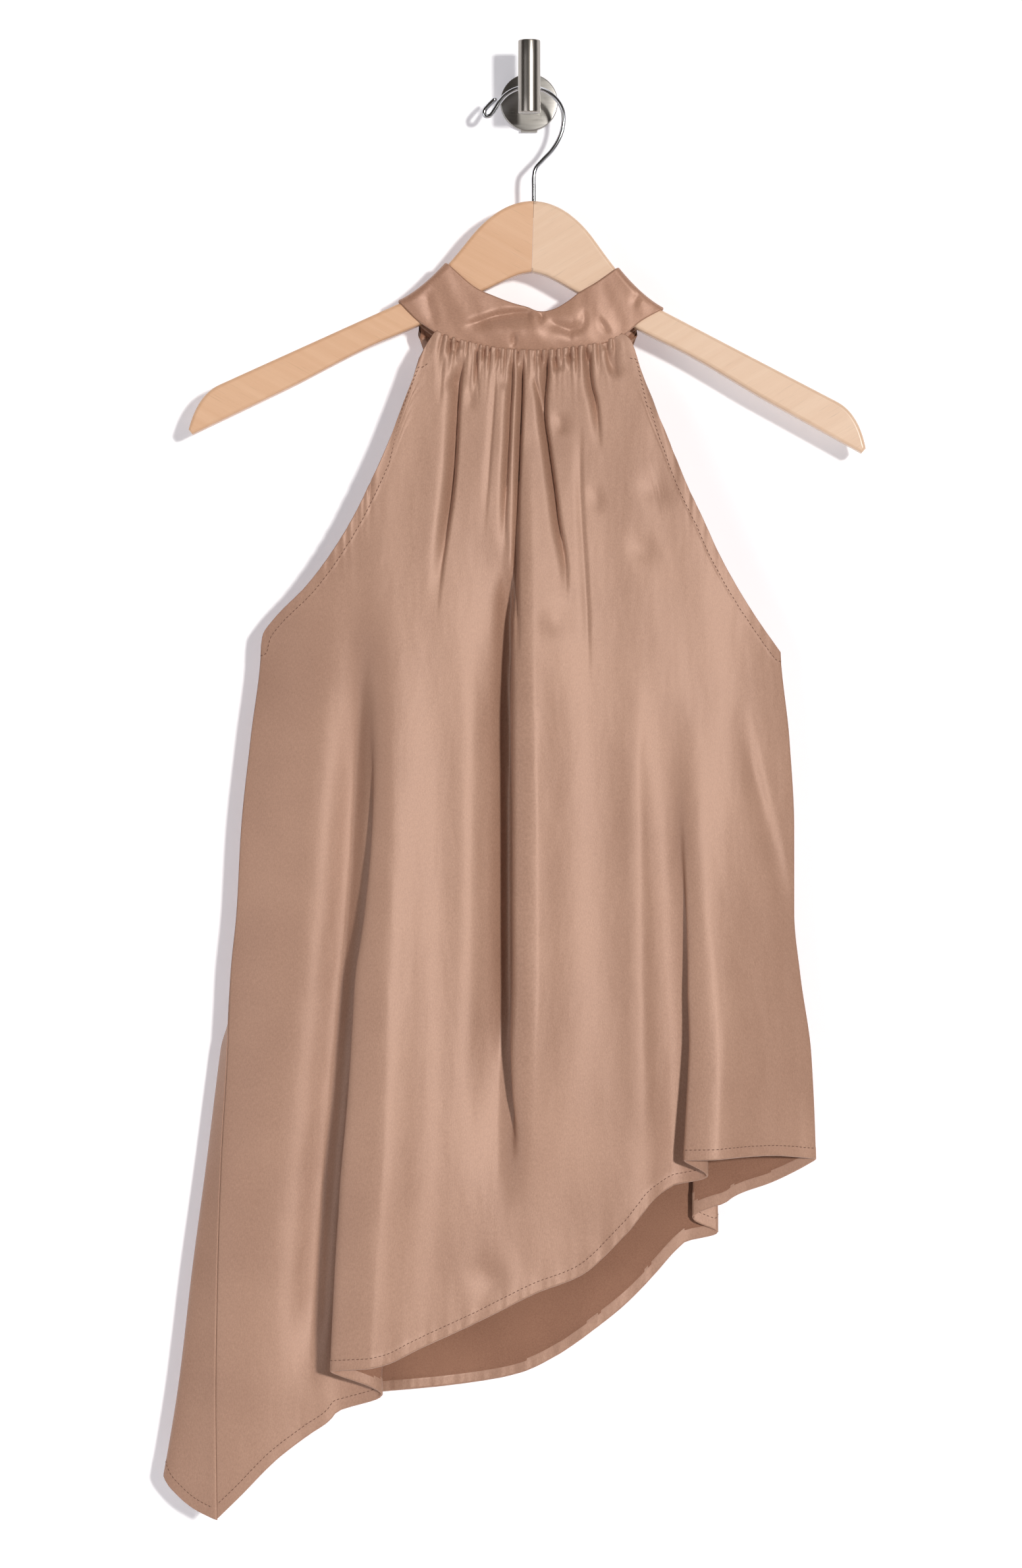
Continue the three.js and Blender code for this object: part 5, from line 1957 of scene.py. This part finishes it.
def rounded(
    corner: tuple[float, float], before: tuple[float, float], after: tuple[float, float], r: float
) -> list[tuple[float, float]]:
    """A corner of a profile rounded with four spans.

    Args:
        corner: the corner.
        before: the profile's point before it.
        after: the profile's point after it.
        r: how far from the corner the rounding starts.

    Returns:
        The points that stand for the corner.
    """
    c, a, b = np.array(corner), np.array(before), np.array(after)
    start = c + (a - c) / np.linalg.norm(a - c) * r
    stop = c + (b - c) / np.linalg.norm(b - c) * r
    t = np.linspace(0, 1, 5)[:, None]
    curve = (1 - t) ** 2 * start + 2 * t * (1 - t) * c + t**2 * stop
    return [tuple(p) for p in curve]


@dataclass
class WallHook:
    """A round plate on the wall and an upright post on a short stem."""

    plate_radius: float = 18.8
    plate_thick: float = 4.0
    bevel: float = 0.8
    post_radius: float = 7.2
    post_y: float = -40.0
    post_low: float = -12.4
    post_high: float = 34.6
    stem_radius: float = 4.3
    tab: tuple[float, float, float, float] = (10.8, 2.0, 6.0, -16.6)
    play: float = 0.1
    crisp: float = 35.0

    def plate(self, nickel: bpy.types.Material) -> bpy.types.Object:
        """The plate with the small tab at its foot.

        Args:
            nickel: its finish.

        Returns:
            The finished piece.
        """
        r, t = self.plate_radius, self.plate_thick
        edge = rounded((r, t), (r, 0), (0, t), self.bevel)
        profile = [(0, 0), (r - 0.2, 0), (r, 0.2), *edge, (r * 0.6, t), (r * 0.25, t), (0, t)]
        made = lathe(profile, 96, (0, 0, 0), Axis.OUT)
        w, thick, h, z = self.tab
        xs, ys, zs = (-w / 2, w / 2), (-thick * 1.5, -thick * 0.5), (z - h / 2, z + h / 2)
        corners = np.array([(x, y, c) for x in xs for y in ys for c in zs])
        a = made.add(corners)
        for quad in ((0, 1, 3, 2), (4, 6, 7, 5), (0, 4, 5, 1), (2, 3, 7, 6), (0, 2, 6, 4), (1, 5, 7, 3)):
            made.face([a + i for i in quad])
        piece = made.piece("plate_disc", [nickel])
        sharp_faces(piece, self.crisp)
        return place(piece, Slot.NICKEL, "wall_plate")

    def post(self, nickel: bpy.types.Material) -> bpy.types.Object:
        """The upright post and its stem.

        Args:
            nickel: its finish.

        Returns:
            The finished piece.
        """
        r, low, high = self.post_radius, self.post_low, self.post_high
        foot = rounded((r, low), (0, low), (r, high), self.bevel)
        head = rounded((r, high), (r, low), (0, high), self.bevel)
        middle = [(r, lerp(low, high, t)) for t in (0.25, 0.5, 0.75)]
        profile = [(0, low), (r * 0.5, low), *foot, *middle, *head, (r * 0.5, high), (0, high)]
        made = lathe(profile, 72, (0, self.post_y, 0), Axis.UP)
        start = self.plate_thick + self.play
        reach = -self.post_y - start
        bar = [(0, 0), (self.stem_radius, 0), (self.stem_radius, reach), (0, reach)]
        stem = lathe(bar, 48, (0, -start, 0), Axis.OUT)
        first = made.add(np.vstack(stem.points))
        for corners in stem.faces:
            made.face([first + c for c in corners])
        piece = made.piece("post_bar", [nickel])
        sharp_faces(piece, self.crisp)
        return place(piece, Slot.NICKEL, "hook_post")


def sharp_faces(piece: bpy.types.Object, angle: float) -> None:
    """Marks edges sharper than an angle in degrees, so that they shade crisply."""
    piece.data.set_sharp_from_angle(angle=math.radians(angle))


@dataclass
class Buttons:
    """Two small covered buttons on the band's lap."""

    profile: Sequence[tuple[float, float]] = (
        (0, 0), (3.7, 0), (4.2, 0.25), (4.5, 0.8), (4.42, 1.2), (4.05, 1.6), (3.4, 1.95), (2.5, 2.2),
        (1.4, 2.36), (0.5, 2.4), (0, 2.4),
    )
    places: tuple[tuple[str, float], ...] = (("upper", 0.28), ("lower", 0.74))

    def build(self, satin: bpy.types.Material) -> list[bpy.types.Object]:
        """Makes both buttons.

        Args:
            satin: their finish.

        Returns:
            The finished pieces.
        """
        made = []
        for name, over in self.places:
            lap = BAND_OFF + LAP_OFF
            shifts = np.array([-0.1, -0.05, 0.0, 0.05, 0.1])
            behind = BAND_FORM.points(0.5, over + shifts, lap, 1)
            at = BAND_FORM.points(np.array([0.5]), over, lap, 1)[0]
            y = behind[:, 1].max() + BAND / 2 + SEAM_GAP
            draft = lathe(self.profile, 48, (at[0], y, at[2]), Axis.BACK)
            piece = draft.piece("button_cover_" + name, [satin])
            made.append(place(piece, Slot.BUTTON, "button_" + name))
        return made


# Studio


@dataclass(frozen=True)
class Lamp:
    """A square soft light."""

    name: str
    at: tuple[float, float, float]
    size: float
    power: float
    colour: tuple[float, float, float]


@dataclass
class Studio:
    """Camera, lights, wall and floor: the key from the upper right, the fill from the left."""

    lamps: tuple[Lamp, ...] = (
        Lamp("key", (4.3, -10.8, 0.8), 0.8, 925.0, (1.0, 0.99, 0.97)),
        Lamp("fill", (-2.4, -3.0, -0.8), 2.0, 30.0, (0.97, 0.97, 1.0)),
        Lamp("crown", (0.2, -0.9, 1.5), 1.0, 4.0, (1.0, 1.0, 1.0)),
    )
    surround: tuple[float, float, float, float] = (1.0, 0.86, 0.76, 1.0)
    surround_power: float = 0.05
    backdrop: tuple[float, float, float, float] = (0.78, 0.79, 0.82, 1.0)
    backdrop_power: float = 0.8
    wall_y: float = 0.6
    wall_glow: float = 0.26
    camera_y: float = -3.0
    centre: tuple[float, float] = (-0.0118, -0.4464)
    lens: float = 105.06
    cloth_y: float = -0.03
    wide: float = 3000.0
    low: float = -1500.0
    high: float = 1500.0

    def camera(self) -> None:
        """The camera, straight in front of the picture's middle."""
        data = bpy.data.cameras.new("camera")
        data.lens = self.lens
        data.sensor_width = 36.0
        made = bpy.data.objects.new("camera", data)
        made.location = (self.centre[0], self.camera_y, self.centre[1])
        made.rotation_euler = (math.pi / 2, 0, 0)
        bpy.context.scene.collection.objects.link(made)
        bpy.context.scene.camera = made

    def light(self, lamp: Lamp) -> None:
        """Adds a light that is aimed at the middle of the garment.

        Args:
            lamp: the light.
        """
        data = bpy.data.lights.new(lamp.name, "AREA")
        data.shape = "SQUARE"
        data.size = lamp.size
        data.energy = lamp.power
        data.color = lamp.colour
        made = bpy.data.objects.new(lamp.name, data)
        made.location = lamp.at
        aim = Vector((self.centre[0], self.cloth_y, self.centre[1])) - Vector(lamp.at)
        made.rotation_euler = aim.to_track_quat("-Z", "Y").to_euler()
        bpy.context.scene.collection.objects.link(made)

    def lights(self) -> None:
        """The lights, a dim warm surround, and a pale backdrop past the wall."""
        for lamp in self.lamps:
            self.light(lamp)
        g = Graph("surround", bpy.data.worlds.new("surround"))
        seen = g.node("ShaderNodeLightPath", {}, {}, "Is Camera Ray")
        glow = {"Color": self.surround, "Strength": self.surround_power}
        beyond = {"Color": self.backdrop, "Strength": self.backdrop_power}
        warm = g.node("ShaderNodeBackground", {}, glow)
        pale = g.node("ShaderNodeBackground", {}, beyond)
        shown = g.node("ShaderNodeMixShader", {}, {0: seen, 1: warm, 2: pale})
        g.node("ShaderNodeOutputWorld", {}, {"Surface": shown})
        bpy.context.scene.world = g.owner
        bpy.context.scene.view_settings.view_transform = "Standard"

    def stage(self) -> None:
        """A white wall seen from the front only, and a pale floor well below."""
        g = Graph("wall_paint")
        back = g.node("ShaderNodeNewGeometry", {}, {}, "Backfacing")
        matte = g.node("ShaderNodeBsdfDiffuse", {}, {"Color": (0.9, 0.9, 0.9, 1.0)})
        glow = g.node("ShaderNodeEmission", {}, {"Color": (0.93, 0.9, 1.0, 1.0), "Strength": self.wall_glow})
        paint = g.node("ShaderNodeAddShader", {}, {0: matte, 1: glow})
        clear = g.node("ShaderNodeBsdfTransparent")
        shown = g.node("ShaderNodeMixShader", {}, {0: back, 1: paint, 2: clear})
        g.node("ShaderNodeOutputMaterial", {}, {"Surface": shown})
        wide, low, high, y = self.wide, self.low, self.high, self.wall_y
        wall = MeshDraft()
        wall.add(np.array([(-wide, y, low), (wide, y, low), (wide, y, high), (-wide, y, high)]))
        wall.face((0, 1, 2, 3))
        floor = MeshDraft()
        corners = [(-wide, -wide, low), (wide, -wide, low), (wide, wide, low), (-wide, wide, low)]
        floor.add(np.array(corners))
        floor.face((0, 1, 2, 3))
        f = Graph("floor_paint")
        grain = f.noise(f.node("ShaderNodeTexCoord", {}, {}, "Object"), 4.0)
        pale = f.mix(grain, (0.80, 0.80, 0.81, 1.0), (0.84, 0.84, 0.85, 1.0))
        floor_paint = f.finish({"Base Color": pale, "Roughness": 0.9})
        wall.piece("wall", [g.owner], False)
        floor.piece("floor", [floor_paint], False)


def main() -> None:
    """Builds every piece in order."""
    logging.basicConfig(level=logging.INFO, format="%(name)s %(message)s")
    satin, band, reverse, thread = SATIN.build(), SATIN_BAND.build(), REVERSE.build(), THREAD.build()
    stitching = Stitching(stitch_tree(thread))
    collar = Neckband()
    neckband = collar.build(band)
    front = Panel("front_satin", "front_panel", FRONT_FORM, 1, (0.48, 0.78), 0.245)
    front.build(satin, reverse, stitching, thread)
    back = Panel("back_satin", "back_panel", BACK_FORM, -1, (0.48, 0.78), 0.23)
    back.build(satin, reverse, stitching, thread)
    Buttons().build(band)
    hanger = Hanger()
    hanger.half(-1, WOOD_LEFT.build())
    hanger.half(1, WOOD_RIGHT.build())
    hanger.wire(CHROME.build())
    hook = WallHook()
    hook.plate(NICKEL_PLATE.build())
    hook.post(NICKEL_POST.build())
    studio = Studio()
    studio.camera()
    studio.lights()
    studio.stage()


if __name__ == "__main__":
    main()
